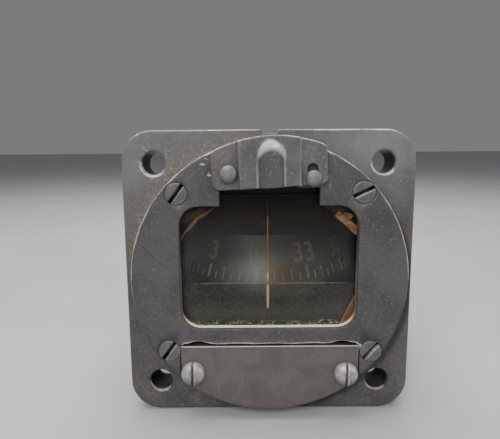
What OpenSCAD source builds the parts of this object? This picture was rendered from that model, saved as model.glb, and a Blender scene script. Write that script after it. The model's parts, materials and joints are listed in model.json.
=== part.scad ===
// Panel-mounted magnetic compass for an aircraft, with a square flange, a round bezel and a lamp cover.
// Millimetres. X to the right, Y to the back, Z up; the origin is the centre of the flange's front face.

/* [Flange] */
// Width and height of the square flange
flange_w = 60.3; // [60:0.1:61]
// Thickness of the flange
flange_t = 7.6; // [7:0.1:8.5]
// Radius of the flange's corners
flange_corner = 6.35; // [5:0.05:7]
// Distance between neighbouring mounting holes
hole_spacing = 47.15; // [47:0.05:47.4]
// Radius of a mounting hole
hole_r = 2.38; // [2:0.01:2.5]
// Chamfer round the mouth of a mounting hole
hole_chamfer = 0.5; // [0.2:0.1:0.8]
// Width of the notch in the flange's top edge
notch_w = 3.3; // [2:0.1:5]
// Depth of the notch in the flange's top edge
notch_depth = 0.8; // [0.4:0.1:1.2]
// Distance of the notch from the middle
notch_x = 0.25; // [-1:0.05:1]

/* [Case] */
// Outer radius of the round case
case_r = 28; // [27.8:0.1:28.1]
// Length of the case behind the flange's front face
case_length = 50; // [49.5:0.1:52]
// Radius of the bowl inside the case
bowl_r = 25; // [24.6:0.1:25]
// Radius of the narrower front part of the bowl
bowl_front_r = 22.5; // [22:0.1:22.8]
// Depth at which the narrower front part ends
bowl_front_end = 8; // [7.6:0.1:9]
// Depth from which the bowl is a full circle
bowl_full_start = 16; // [15.9:0.1:17]
// Height of the bowl's ceiling at the front
ceiling_z = 16.5; // [16.2:0.1:17]
// Height of the bowl's floor at the front
floor_z = -12.9; // [-13:0.1:-12.6]
// Thickness of the case's front land
land_t = 1.5; // [1.2:0.1:1.5]

/* [Bezel and window] */
// Outer radius of the bezel
bezel_r = 28.13; // [28:0.01:28.3]
// Distance by which the bezel stands in front of the flange
bezel_t = 3.9; // [3.7:0.1:4.2]
// Chamfer on the bezel's front edge
bezel_chamfer = 0.7; // [0.3:0.1:1]
// Thickness of the bezel's lip in front of the glass
lip_t = 1.9; // [1.8:0.1:2]
// Width of the window
window_w = 35.9; // [35:0.1:36]
// Height of the window's lower edge
window_low = -10.25; // [-10.5:0.05:-10]
// Height of the window's upper edge
window_high = 15; // [14.5:0.1:15.2]
// Radius of the window's corners
window_corner = 4; // [3:0.1:5]
// Radius of the round glass
glass_r = 23.4; // [23:0.1:23.6]
// Height of the chord that cuts the glass below
glass_low = -12.3; // [-12.5:0.1:-12]
// Height of the chord that cuts the glass above
glass_high = 17.3; // [17:0.1:17.4]
// Thickness of the gasket behind the glass
gasket_t = 1.5; // [1:0.1:1.5]
// Radius of the opening in the gasket and the case's land
opening_r = 19.7; // [19:0.1:20]
// Height of the opening's lower chord
opening_low = -11; // [-11.2:0.1:-10.6]
// Height of the opening's upper chord
opening_high = 15.8; // [15.4:0.1:16]
// Radius of a bezel screw's head
bezel_head_r = 2.25; // [2:0.05:2.3]
// Depth of a bezel screw's head
bezel_head_t = 1.2; // [1:0.1:1.3]
// Radius of a bezel screw's shank
bezel_shank_r = 1; // [0.8:0.05:1.1]

/* [Lubber line] */
// Width of the lubber line
lubber_w = 0.5; // [0.3:0.05:0.6]
// Height of its lower end
lubber_low = -7.5; // [-8:0.1:-6]

/* [Lamp cover] */
// Angle by which the cover stands lifted from its closed place
cover_lift = 3.2; // [0:0.1:6]
// Half the width of the cover across its wings
cover_half_w = 11.3; // [11:0.1:11.5]
// Height of the cover's lower edge when it is closed
cover_low = 18.25; // [18.1:0.05:18.4]
// Thickness of a wing
wing_t = 0.95; // [0.8:0.05:1]
// Half the width of the raised block
block_half_w = 5.95; // [5.8:0.05:6.1]
// Distance by which the block stands in front of the bezel
block_proud = 2.2; // [2.1:0.1:2.6]
// Radius of the half-round dome
dome_r = 2.55; // [2.4:0.05:2.7]
// Distance by which the dome stands in front of the bezel
dome_proud = 4.1; // [3.8:0.1:4.3]
// Height of the dome's rounded top when the cover is closed
dome_top = 27.5; // [27:0.1:27.6]
// Wall thickness of the block and the dome
cover_wall = 0.75; // [0.6:0.05:0.8]
// Distance of the pivot stud to the right of the middle
pivot_stud_x = -8; // [-8.1:0.05:-7.9]
// Height of the pivot stud
pivot_stud_z = 21.3; // [21.2:0.05:21.4]
// Distance of the catch stud to the right of the middle
catch_stud_x = 8.4; // [8.35:0.05:8.45]
// Height of the catch stud
catch_stud_z = 20.4; // [20.35:0.05:20.45]
// Radius of the pivot stud's head
pivot_head_r = 1.72; // [1.5:0.02:1.8]
// Radius of the catch stud's head
catch_head_r = 1.6; // [1.5:0.02:1.8]
// Height of a stud's head
stud_head_t = 1.2; // [1:0.1:1.4]
// Radius of a stud's shank
stud_r = 0.8; // [0.7:0.05:0.8]
// Distance of the catch stud's slot to the right of the middle, cover closed
slot_x = 8.3; // [8.25:0.05:8.35]
// Height of the slot's round end, cover closed
slot_z = 21.38; // [21.3:0.02:21.4]
// Half the width of that slot
slot_r = 1.05; // [1.05:0.01:1.1]

/* [Lamp] */
// Half the width of the light slot above the window
light_slot_half_w = 9.9; // [9.5:0.1:10]
// Height at which the wide light slot ends
light_slot_high = 18.6; // [18.4:0.1:18.7]
// Half the width of the lamp pocket in the bezel
lamp_pocket_half_w = 5.6; // [5.4:0.1:5.7]
// Height at which the lamp pocket ends
lamp_pocket_high = 26.8; // [26.7:0.1:26.9]
// Radius of the bulb's glass
bulb_r = 1.55; // [1.4:0.05:1.6]
// Distance of the bulb's axis in front of the flange's face
bulb_forward = 3.4; // [3.3:0.05:3.45]
// Height of the bulb's rounded tip
bulb_low = 19.2; // [19:0.1:19.6]
// Height where the glass meets the base
bulb_high = 23.2; // [23:0.1:23.3]
// Radius of the lamp's base
base_r = 1.4; // [1.3:0.05:1.4]
// Outer radius of the lead's grommet
grommet_r = 2.2; // [2.1:0.05:2.4]
// Radius of the grommet's bore
grommet_bore_r = 1.1; // [0.9:0.05:1.2]
// Distance of the grommet behind the flange's face
grommet_y = 11.2; // [11:0.1:11.4]
// Height of the bosses on top of the case
boss_high = 28.9; // [28.8:0.1:29.2]

/* [Compensator] */
// Half the width of the cover plate
plate_half_w = 18.4; // [18:0.05:18.4]
// Height of the cover plate's upper edge
plate_high = -14.1; // [-14.2:0.1:-14]
// Thickness of the cover plate
plate_t = 1.5; // [1.2:0.1:1.6]
// Radius of a plate screw's head
plate_head_r = 2.45; // [2.2:0.05:2.5]
// Height of a plate screw's head
plate_head_t = 2; // [1.6:0.1:2.4]
// Half the width of the chamber in the case
chamber_half_w = 13.2; // [13:0.1:13.4]
// Depth of the chamber
chamber_end = 14.4; // [14.2:0.1:14.4]
// Height of the adjusters' axes
adjuster_z = -19.4; // [-19.5:0.05:-19.3]
// Distance of each adjuster from the middle
adjuster_x = 6.3; // [6.2:0.05:6.4]
// Tooth size: pitch diameter for each tooth
tooth_module = 0.5; // [0.5:0.01:0.51]
// Number of teeth on an adjuster's pinion
pinion_teeth = 8; // [8:4:8]
// Number of teeth on a crown gear
crown_teeth = 20; // [20:4:20]
// Radius of an adjuster's slotted head
adjuster_head_r = 1.5; // [1.3:0.05:1.6]
// Radius of a gear axle
axle_r = 0.6; // [0.5:0.05:0.6]

/* [Card and pivot] */
// Distance of the card's axis behind the flange's face
card_y = 25; // [24.9:0.05:25.1]
// Height of the point that the card turns on
pivot_z = 3.5; // [3.3:0.05:3.6]
// Outer radius of the card's skirt at its rim
card_r = 23; // [22.6:0.05:23.05]
// Height of the card's rim
card_low = -2.9; // [-3.1:0.1:-2.7]
// Height of the card's top
card_high = 7.4; // [7:0.1:7.8]
// Outer radius of the card's top
card_top_r = 19; // [18.5:0.1:19.2]
// Thickness of the card's sheet
card_t = 0.4; // [0.3:0.05:0.5]
// Outer radius of the float
float_r = 10; // [9:0.1:11]
// Radius of the hole through the float
float_hole_r = 4.8; // [4.6:0.1:5]
// Height of the float's lower face
float_low = -4; // [-4.4:0.1:-3.6]
// Height of the float's upper face
float_high = 5; // [4.9:0.1:5.2]
// Outer radius of the jewel post
post_r = 2; // [1.9:0.05:2.1]
// Radius of the jewel cup
cup_r = 1.2; // [1.1:0.05:1.25]
// Number of turns in the jewel spring
spring_turns = 8; // [5:1:10]

/* [Rear] */
// Thickness of the rear cover
cover_depth = 5; // [4.5:0.1:6]
// Number of screws in the rear cover
rear_screws = 6; // [6:1:8]
// Radius of the circle of rear cover screws
rear_screw_circle = 26.4; // [26.3:0.05:26.5]
// Distance of the filler plug behind the flange's face
filler_y = 36; // [34:0.5:38]

/* [Hidden] */
$fn = 96;
// Extra length of a cut, so that it passes right through
cut = 1;
hole_at = hole_spacing / 2;
window_x = -0.15;
window_mid_z = (window_low + window_high) / 2;
glass_front = -lip_t - 0.1;
pivot_stud_at = [pivot_stud_x, pivot_stud_z];
catch_stud_at = [catch_stud_x, catch_stud_z];
slot_at = [slot_x, slot_z];
// Places of the bezel screws and the directions of their slots
bezel_screw_at = [[-18.5, 17.55, 53], [18.6, 17.7, 25], [-20.75, -15, 54], [20.9, -15.3, 48]];
bezel_screw_end = 6;
slot_w = 0.6;
slot_depth = 0.7;
recess_half_w = plate_half_w + 0.15;
recess_high = plate_high + 0.6;
plate_back = -bezel_t + plate_t;
plate_screw_at = [[-15.9, -19.7], [15.75, -20]];
plate_shank_r = 1.1;
plate_screw_end = 5.5;
running = 0.05;
block_front = -bezel_t - block_proud;
dome_axis_y = -bezel_t - dome_proud + dome_r;
dome_x = 0.2;
wing_back = -bezel_t - running;
wing_front = wing_back - wing_t;
stud_depth = 4;
case_pocket_half_w = 3.2;
case_pocket_low = 20.5;
case_pocket_high = 26.75;
case_pocket_end = 14;
socket_low = 23.4;
socket_high = 26.3;
base_high = 25.9;
contact_t = 0.3;
boss_r = 4.2;
chamber_high = floor_z - 1.4;
chamber_low = -24.7;
chamber_r = 26.6;
pinion_r = tooth_module * pinion_teeth / 2;
crown_r = tooth_module * crown_teeth / 2;
crown_inner_r = crown_r - 0.7;
crown_outer_r = crown_r + 0.3;
gear_y = 7.2;
front_wall_back = 0.9;
web_front = 3.1;
web_back = 4.5;
web_half_h = 1.15;
tooth_root = 0.62;
tooth_tip = 0.42;
crown_face = pinion_r + tooth_root;
crown_back_high = adjuster_z + crown_face + 1.45;
crown_back_low = adjuster_z - crown_face - 1.35;
plate_top_z = chamber_high - 0.1;
plate_low_z = chamber_low + 0.3;
adjuster_slot_w = 0.5;
crown_tooth_root_half_w = 0.36;
crown_tooth_tip_half_w = 0.17;
magnet_w = 0.9;
magnet_length = 7;
magnet_x = 2;
post_high = pivot_z + 0.1;
cup_low = pivot_z - 1.6;
pin_r = 0.5;
hub_r = 1.6;
hub_low = pivot_z + 1.5;
hub_proud = 0.4;
pin_h = 3;
bracket_t = 1.2;
yoke_t = 0.5;
card_magnet_w = 2;
card_magnet_length = 22;
card_magnet_x = 6.5;
gasket_end = case_length + 0.8;
diaphragm_end = gasket_end + 0.3;
cover_end = diaphragm_end + cover_depth;
rear_shank_r = 0.8;
filler_r = 2;
filler_seal_t = 0.5;
bracket_half_w = 4;
bracket_screw_r = 0.8;
bracket_screw_at = [[-2.2, 6.5], [2.2, 12]];
bracket_screw_deep = 1;
post_low = floor_z + 2;
spring_low = post_low;
spring_high = cup_low;
wire_r = 0.15;
spring_r = cup_r - 0.2;
data_plate_t = 0.4;
data_plate_w = 26;
data_plate_h = 11;
data_plate_z = 6;
data_pin_x = 11.2;
data_pin_r = 0.5;

// Flat outline, drawn in X and Z, made solid from one depth to another
module along_y(from, to) {
    translate([0, to, 0]) rotate([90, 0, 0]) linear_extrude(to - from) children();
}

// Profile of radius and depth, turned about the Y axis
module turned_y() {
    rotate([-90, 0, 0]) rotate_extrude() children();
}

// Round bar along Y at a place in X and Z
module bar_y(r, from, to, at = [0, 0]) {
    translate([at[0], from, at[1]]) rotate([-90, 0, 0]) cylinder(r = r, h = to - from);
}

// Round bar along Z
module bar_z(r, from, to) {
    translate([0, 0, from]) cylinder(r = r, h = to - from);
}

// Rectangle with round corners, centred
module rounded(w, h, r) {
    square([w - 2 * r, h], center = true);
    square([w, h - 2 * r], center = true);
    for (x = [-1, 1], z = [-1, 1]) translate([x * (w / 2 - r), z * (h / 2 - r)]) circle(r);
}

// Rectangle from one corner to another
module box2(low, high) {
    translate(low) square(high - low);
}

// Box from one corner to another
module box3(low, high) {
    translate(low) cube(high - low);
}

// Circle cut by a lower and an upper chord
module chorded(r, low, high) {
    intersection() {
        circle(r);
        box2([-r - cut, low], [r + cut, high]);
    }
}

// Domed screw head on the front, with a slot
module domed_head(r, h, at, angle) {
    translate([at[0], 0, at[1]]) difference() {
        turned_y() polygon([[0, 0], [r, 0], [r, -h * 0.55], [r * 0.86, -h * 0.85], [r * 0.55, -h], [0, -h]]);
        rotate([0, -angle, 0])
            box3([-r - cut, -h - cut, -slot_w / 2], [r + cut, -h + slot_depth, slot_w / 2]);
    }
}

module case_body() {
    color("#4a4845") difference() {
        union() {
            along_y(0, flange_t) rounded(flange_w, flange_w, flange_corner);
            bar_y(case_r, 0, case_length);
            translate([0, grommet_y, 0]) bar_z(boss_r - 1, case_pocket_low, boss_high);
            translate([0, filler_y, 0]) bar_z(boss_r, bowl_r - 2, boss_high);
        }
        for (x = [-1, 1], z = [-1, 1]) translate([x * hole_at, 0, z * hole_at]) {
            bar_y(hole_r, -cut, flange_t + cut);
            turned_y() polygon([[0, -cut], [hole_r + hole_chamfer + cut, -cut],
                [hole_r, hole_chamfer], [0, hole_chamfer]]);
        }
        box3([notch_x - notch_w / 2, -cut, flange_w / 2 - notch_depth],
            [notch_x + notch_w / 2, flange_t + cut, flange_w / 2 + cut]);
        bowl();
        along_y(-cut, gasket_t) chorded(glass_r, glass_low, glass_high);
        along_y(-cut, gasket_t + land_t + cut) chorded(opening_r, opening_low, opening_high);
        compensator_chamber();
        box3([-case_pocket_half_w, -cut, case_pocket_low],
            [case_pocket_half_w, case_pocket_end, case_pocket_high]);
        translate([0, grommet_y, 0]) bar_z(grommet_r, case_pocket_high - cut, boss_high + cut);
        translate([0, filler_y, 0]) bar_z(filler_r, bowl_r - 3, boss_high + cut);
        for (p = bezel_screw_at) bar_y(bezel_shank_r, -cut, bezel_screw_end, p);
        for (p = plate_screw_at) bar_y(plate_shank_r, -cut, plate_screw_end, p);
        for (p = [pivot_stud_at, catch_stud_at]) bar_y(stud_r, -cut, stud_depth, p);
        for (p = bracket_screw_at) translate([p[0], p[1], 0])
            bar_z(bracket_screw_r, floor_z - bracket_screw_deep, floor_z + cut);
        at_rear_screws() bar_y(rear_shank_r, case_length - 6, case_length + cut);
    }
}

// Space inside the case that the fluid and the card fill
module bowl() {
    along_y(gasket_t + land_t, bowl_front_end) chorded(bowl_front_r, floor_z, ceiling_z);
    along_y(bowl_front_end - 0.01, bowl_full_start + 0.01) chorded(bowl_r, floor_z, ceiling_z);
    bar_y(bowl_r, bowl_full_start, case_length + cut);
}

// Space below the bowl that holds the compensator
module compensator_chamber() {
    intersection() {
        bar_y(chamber_r, -cut, chamber_end);
        box3([-chamber_half_w, -cut, chamber_low], [chamber_half_w, chamber_end, chamber_high]);
    }
}

// Repeats its children on the circle of rear cover screws
module at_rear_screws() {
    for (i = [0 : rear_screws - 1]) rotate([0, 360 * (i + 0.5) / rear_screws, 0])
        translate([0, 0, rear_screw_circle]) children();
}

module front_bezel() {
    color("#4c4a47") difference() {
        turned_y() polygon([[0, -bezel_t], [bezel_r - bezel_chamfer, -bezel_t],
            [bezel_r, -bezel_t + bezel_chamfer], [bezel_r, 0], [0, 0]]);
        along_y(-bezel_t - cut, cut) translate([window_x, window_mid_z])
            rounded(window_w, window_high - window_low, window_corner);
        along_y(glass_front, cut) chorded(glass_r, glass_low, glass_high);
        box3([-light_slot_half_w, -bezel_t - cut, window_high - window_corner],
            [light_slot_half_w, cut, light_slot_high]);
        box3([-lamp_pocket_half_w, -bezel_t - cut, light_slot_high - cut],
            [lamp_pocket_half_w, cut, lamp_pocket_high]);
        box3([-recess_half_w, -bezel_t - cut, -bezel_r - cut], [recess_half_w, cut, recess_high]);
        for (p = bezel_screw_at) {
            bar_y(bezel_head_r, -bezel_t - cut, -bezel_t + bezel_head_t, p);
            bar_y(bezel_shank_r, -bezel_t, cut, p);
        }
        for (p = [pivot_stud_at, catch_stud_at]) bar_y(stud_r, -bezel_t - cut, cut, p);
    }
}

module bezel_screws() {
    color("#55524e") for (p = bezel_screw_at) difference() {
        union() {
            bar_y(bezel_head_r, -bezel_t, -bezel_t + bezel_head_t, p);
            bar_y(bezel_shank_r, -bezel_t + bezel_head_t, bezel_screw_end, p);
        }
        translate([p[0], -bezel_t, p[1]]) rotate([0, -p[2], 0])
            box3([-bezel_head_r - cut, -cut, -slot_w / 2], [bezel_head_r + cut, slot_depth, slot_w / 2]);
    }
}

module window_glass() {
    color("#9fb0a8", 0.35) along_y(glass_front, 0)
        chorded(glass_r - running, glass_low + running, glass_high - running);
}

module glass_gasket() {
    color("#9a5a24") along_y(0, gasket_t) difference() {
        chorded(glass_r, glass_low, glass_high);
        chorded(opening_r, opening_low, opening_high);
    }
}

module lubber_line() {
    line_front = 0.4;
    line_x = -0.2;
    foot_half_w = 1.2;
    foot_low = opening_high - 0.8;
    color("#d8a040") {
        box3([line_x - lubber_w / 2, line_front, lubber_low],
            [line_x + lubber_w / 2, line_front + lubber_w, foot_low]);
        box3([-foot_half_w, line_front, foot_low], [foot_half_w, gasket_t + land_t, opening_high]);
    }
}

// Outline of the closed lamp cover across its wings
module cover_outline() {
    corner = 1.5;
    intersection() {
        circle(bezel_r);
        union() {
            box2([-cover_half_w, cover_low + corner], [cover_half_w, bezel_r]);
            box2([-cover_half_w + corner, cover_low], [cover_half_w - corner, cover_low + corner]);
            for (x = [-1, 1]) translate([x * (cover_half_w - corner), cover_low + corner]) circle(corner);
        }
    }
}

// Half-round bulge of the lamp cover, or the hollow inside it
module dome(r, top, low) {
    translate([dome_x, dome_axis_y, 0]) {
        bar_z(r, low, top - dome_r);
        translate([0, 0, top - dome_r]) sphere(r);
    }
}

module lamp_cover() {
    color("#524f4c")
    translate([pivot_stud_at[0], 0, pivot_stud_at[1]]) rotate([0, -cover_lift, 0])
    translate([-pivot_stud_at[0], 0, -pivot_stud_at[1]]) difference() {
        union() {
            along_y(wing_front, wing_back) cover_outline();
            along_y(block_front, wing_back) intersection() {
                cover_outline();
                box2([-block_half_w, cover_low], [block_half_w, bezel_r]);
            }
            intersection() {
                dome(dome_r, dome_top, cover_low);
                box3([-block_half_w, -bezel_t - dome_proud, cover_low],
                    [block_half_w, dome_axis_y, bezel_r]);
            }
        }
        box3([-block_half_w + cover_wall, block_front + cover_wall, cover_low - cut],
            [block_half_w - cover_wall, wing_back + cut, lamp_pocket_high + 0.2]);
        dome(dome_r - cover_wall, dome_top, cover_low - cut);
        bar_y(stud_r + running, wing_front - cut, wing_back + cut, pivot_stud_at);
        bar_y(slot_r, wing_front - cut, wing_back + cut, slot_at);
        box3([slot_at[0] - slot_r, wing_front - cut, cover_low - cut],
            [slot_at[0] + slot_r, wing_back + cut, slot_at[1]]);
    }
}

// Rivet-like stud with a domed head in front of the lamp cover's wing
module stud(r, at) {
    head_back = wing_front - running;
    bar_y(stud_r, head_back, stud_depth, at);
    translate([at[0], head_back, at[1]]) turned_y()
        polygon([[0, 0], [r, 0], [r, -stud_head_t * 0.55], [r * 0.85, -stud_head_t * 0.86],
            [r * 0.5, -stud_head_t], [0, -stud_head_t]]);
}

module pivot_stud() {
    color("#6d6a66") stud(pivot_head_r, pivot_stud_at);
}

module catch_stud() {
    color("#6d6a66") stud(catch_head_r, catch_stud_at);
}

module lamp_bulb() {
    color("#d9dde0", 0.4) translate([0, -bulb_forward, 0]) {
        bar_z(bulb_r, bulb_low + bulb_r, bulb_high);
        translate([0, 0, bulb_low + bulb_r]) sphere(bulb_r);
    }
}

module lamp_base() {
    color("#b89a55") translate([0, -bulb_forward, 0]) bar_z(base_r, bulb_high, base_high);
}

module lamp_socket() {
    front_half_w = 2.4;
    color("#2b2a28") difference() {
        union() {
            box3([-front_half_w, -5, socket_low], [front_half_w, 0, socket_high]);
            box3([-case_pocket_half_w, 0, socket_low], [case_pocket_half_w, 5.8, socket_high]);
        }
        translate([0, -bulb_forward, 0]) bar_z(base_r, socket_low - cut, socket_high + cut);
    }
}

module lamp_contact() {
    color("#c8a452") {
        box3([-0.9, -4.6, socket_high], [0.9, 7.5, socket_high + contact_t]);
        translate([0, -bulb_forward, 0]) bar_z(0.6, base_high, socket_high);
    }
}

module lead_grommet() {
    collar_t = 0.8;
    collar_wider = 0.7;
    color("#222222") translate([0, grommet_y, 0]) difference() {
        union() {
            bar_z(grommet_r, case_pocket_high, boss_high);
            bar_z(grommet_r + collar_wider, boss_high, boss_high + collar_t);
        }
        bar_z(grommet_bore_r, case_pocket_high - cut, boss_high + collar_t + cut);
    }
}

// Outline of the segment below the window
module segment(half_w, high, r) {
    intersection() {
        circle(r);
        box2([-half_w, -bezel_r - cut], [half_w, high]);
    }
}

module compensator_plate() {
    color("#57514b") along_y(-bezel_t, plate_back) difference() {
        segment(plate_half_w, plate_high, bezel_r);
        for (p = plate_screw_at) translate(p) circle(plate_shank_r);
    }
}

module plate_screws() {
    color("#a8a59b") for (p = plate_screw_at) {
        bar_y(plate_shank_r, -bezel_t, plate_screw_end, p);
        translate([0, -bezel_t, 0]) domed_head(plate_head_r, plate_head_t, p, 90);
    }
}

module compensator_frame() {
    color("#8a8780") difference() {
        union() {
            along_y(plate_back, 0) segment(plate_half_w - 0.1, plate_high - 0.1, bezel_r - 0.3);
            intersection() {
                bar_y(chamber_r - 0.3, -cut, chamber_end);
                frame_walls();
            }
        }
        for (p = plate_screw_at) bar_y(plate_shank_r, plate_back - cut, cut, p);
        for (x = [-adjuster_x, adjuster_x]) {
            bar_y(adjuster_head_r + running, plate_back - cut, front_wall_back + cut, [x, adjuster_z]);
            bar_y(axle_r + 0.15 + running, web_front - cut, web_back + cut, [x, adjuster_z]);
            translate([x, gear_y, 0]) bar_z(axle_r, chamber_low - cut, chamber_high + cut);
        }
    }
}

// Front wall, top and bottom plates, middle wall and bearing webs of the compensator frame
module frame_walls() {
    half_w = chamber_half_w - 0.6;
    back = chamber_end - 0.6;
    middle = 0.6;
    box3([-half_w, -cut / 2, plate_low_z], [half_w, front_wall_back, plate_top_z]);
    box3([-half_w, 0, crown_back_high + 0.1], [half_w, back, plate_top_z]);
    box3([-half_w, 0, plate_low_z], [half_w, back, crown_back_low - 0.1]);
    box3([-middle, 0, plate_low_z], [middle, back, plate_top_z]);
    box3([-adjuster_x - 1.5, web_front, adjuster_z - web_half_h],
        [adjuster_x + 1.5, web_back, adjuster_z + web_half_h]);
}

module gear_axles() {
    color("#b8b8b4") for (x = [-adjuster_x, adjuster_x]) translate([x, gear_y, 0]) {
        bar_z(axle_r, crown_back_high - 1.1, plate_top_z);
        bar_z(axle_r, plate_low_z, crown_back_low + 1);
    }
}

// Outline of a pinion, one tooth pointing up
function pinion_points() = [for (k = [0 : pinion_teeth - 1]) let (a = 90 + 360 * k / pinion_teeth)
    each [for (p = [[pinion_r - tooth_root, -16], [pinion_r + tooth_tip, -4.5], [pinion_r + tooth_tip, 4.5],
        [pinion_r - tooth_root, 16]]) p[0] * [cos(a + p[1]), sin(a + p[1])]]];

// Slotted adjusting shaft with its pinion
module adjuster(x) {
    pinion_front = 1.6;
    pinion_back = 2.9;
    translate([x, 0, adjuster_z]) difference() {
        union() {
            bar_y(adjuster_head_r, plate_back + 0.1, front_wall_back + 0.1);
            bar_y(pinion_r - tooth_root - 0.2, front_wall_back + 0.1, pinion_front);
            bar_y(adjuster_head_r + 0.4, front_wall_back + 0.1, front_wall_back + 0.5);
            along_y(pinion_front, pinion_back) polygon(pinion_points());
            bar_y(axle_r + 0.15, pinion_back, web_back + 0.3);
        }
        box3([-adjuster_head_r - cut, plate_back - cut, -adjuster_slot_w / 2],
            [adjuster_head_r + cut, plate_back + 0.9, adjuster_slot_w / 2]);
    }
}

module ns_adjuster() {
    color("#c2a35a") adjuster(-adjuster_x);
}

module ew_adjuster() {
    color("#c2a35a") adjuster(adjuster_x);
}

// Profile of one crown tooth, from its root to its tip
module crown_tooth(root, tip) {
    polygon([[-crown_tooth_root_half_w, root], [-crown_tooth_tip_half_w, tip],
        [crown_tooth_tip_half_w, tip], [crown_tooth_root_half_w, root]]);
}

// Crown gear whose teeth point down at side 1 and up at side -1
module crown_gear(x, side) {
    back = side > 0 ? crown_back_high : crown_back_low;
    face = adjuster_z + side * crown_face;
    tip = face - side * (tooth_root + tooth_tip - 0.05);
    step = 360 / crown_teeth;
    translate([x, gear_y, 0]) difference() {
        union() {
            bar_z(crown_outer_r, min(back, face), max(back, face));
            for (k = [0 : crown_teeth - 1]) rotate([0, 0, -90 + (k + 0.5) * step])
                translate([crown_inner_r, 0, 0]) rotate([90, 0, 90])
                    linear_extrude(crown_outer_r - crown_inner_r - 0.05) crown_tooth(face + side * 0.05, tip);
        }
        bar_z(axle_r + running, min(back, face) - cut, max(back, face) + cut);
        for (m = [-1, 1]) magnet(m * magnet_x, back, side);
    }
}

module ns_upper_magnets() {
    gear_magnets(-adjuster_x, 1);
}

module ns_lower_magnets() {
    gear_magnets(-adjuster_x, -1);
}

module ew_upper_magnets() {
    gear_magnets(adjuster_x, 1);
}

module ew_lower_magnets() {
    gear_magnets(adjuster_x, -1);
}

// Small bar magnet let into a crown gear's back
module magnet(x, back, side) {
    low = side > 0 ? back - magnet_w : back;
    box3([x - magnet_w / 2, -magnet_length / 2, low],
        [x + magnet_w / 2, magnet_length / 2, low + magnet_w]);
}

// Pair of small magnets of one crown gear
module gear_magnets(x, side) {
    back = side > 0 ? crown_back_high : crown_back_low;
    color("#5b5d60") translate([x, gear_y, 0]) for (m = [-1, 1]) magnet(m * magnet_x, back, side);
}

module ns_upper_gear() {
    color("#c9ad63") crown_gear(-adjuster_x, 1);
}

module ns_lower_gear() {
    color("#c9ad63") crown_gear(-adjuster_x, -1);
}

module ew_upper_gear() {
    color("#c9ad63") crown_gear(adjuster_x, 1);
}

module ew_lower_gear() {
    color("#c9ad63") crown_gear(adjuster_x, -1);
}

module pivot_bracket() {
    foot_front = 4;
    color("#9b978d") difference() {
        union() {
            box3([-bracket_half_w, foot_front, floor_z], [bracket_half_w, card_y, floor_z + bracket_t]);
            translate([0, card_y, 0]) bar_z(bracket_half_w, floor_z, floor_z + bracket_t);
            translate([0, card_y, 0]) bar_z(post_r + 1.4, floor_z, floor_z + 3);
        }
        translate([0, card_y, 0]) bar_z(post_r, floor_z - cut, floor_z + 3 + cut);
        for (p = bracket_screw_at) translate([p[0], p[1], 0])
            bar_z(bracket_screw_r, floor_z - cut, floor_z + bracket_t + cut);
    }
}

module bracket_screws() {
    head_r = 1.5;
    head_t = 0.9;
    slot_half_w = 0.2;
    color("#c2a35a") for (p = bracket_screw_at) translate([p[0], p[1], 0]) difference() {
        union() {
            bar_z(bracket_screw_r, floor_z - bracket_screw_deep, floor_z + bracket_t);
            bar_z(head_r, floor_z + bracket_t, floor_z + bracket_t + head_t);
        }
        box3([-head_r - cut, -slot_half_w, floor_z + bracket_t + head_t / 2],
            [head_r + cut, slot_half_w, floor_z + bracket_t + head_t + cut]);
    }
}

module jewel_post() {
    color("#c2a35a") translate([0, card_y, 0]) difference() {
        bar_z(post_r, floor_z, post_high);
        bar_z(cup_r + running, post_low, post_high + cut);
    }
}

// Point of the jewel spring's wire: turn angle a, place u round the wire
function coil_point(a, u) =
    let (r = spring_r + wire_r * cos(u))
    let (rise = (spring_high - spring_low - 2 * wire_r) / (360 * spring_turns))
    [r * cos(a), r * sin(a), spring_low + wire_r + rise * a + wire_r * sin(u)];

module jewel_spring() {
    sides = 6;
    steps = spring_turns * 16;
    points = [for (i = [0 : steps], k = [0 : sides - 1])
        coil_point(360 * spring_turns * i / steps, 360 * k / sides)];
    walls = [for (i = [0 : steps - 1], k = [0 : sides - 1]) let (n = (k + 1) % sides)
        [i * sides + k, i * sides + n, (i + 1) * sides + n, (i + 1) * sides + k]];
    start = [[for (k = [sides - 1 : -1 : 0]) k]];
    end = [[for (k = [0 : sides - 1]) steps * sides + k]];
    color("#c7c7c2") translate([0, card_y, 0]) polyhedron(points, concat(walls, start, end));
}

module jewel_cup() {
    color("#b3304a") translate([0, card_y, 0]) difference() {
        bar_z(cup_r, cup_low, post_high);
        rotate_extrude() polygon([[0, pivot_z - 0.03], [0.75, post_high + 0.01], [0.75, post_high + cut],
            [0, post_high + cut]]);
    }
}

// Pointed pin with a domed head centred on its own point
module pivot_pin() {
    tip_h = 1.2;
    color("#d5d6d8") translate([0, card_y, pivot_z]) intersection() {
        rotate_extrude() polygon([[0, 0], [pin_r, tip_h], [pin_r, pin_h + cut], [0, pin_h + cut]]);
        sphere(pin_h);
    }
}

// Hub with a flared bore and a domed seat, so that it can tilt over the pin
module pivot_hub() {
    flare_angle = 10.5;
    bore_r = pin_r + running;
    color("#c2a35a") translate([0, card_y, 0]) difference() {
        bar_z(hub_r, hub_low, card_high + hub_proud);
        translate([0, 0, pivot_z]) intersection() {
            cylinder(r1 = bore_r, r2 = bore_r + hub_r * tan(flare_angle) * 2, h = hub_r * 2);
            sphere(pin_h + running);
        }
    }
}

// Cone-shaped sheet of the compass card with its flat top
module compass_card() {
    color("#1e1e1d") translate([0, card_y, 0]) rotate_extrude() polygon([
        [hub_r + running, card_high], [card_top_r, card_high], [card_r, card_low],
        [card_r - card_t, card_low], [card_top_r - card_t, card_high - card_t],
        [hub_r + running, card_high - card_t]]);
}

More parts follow.
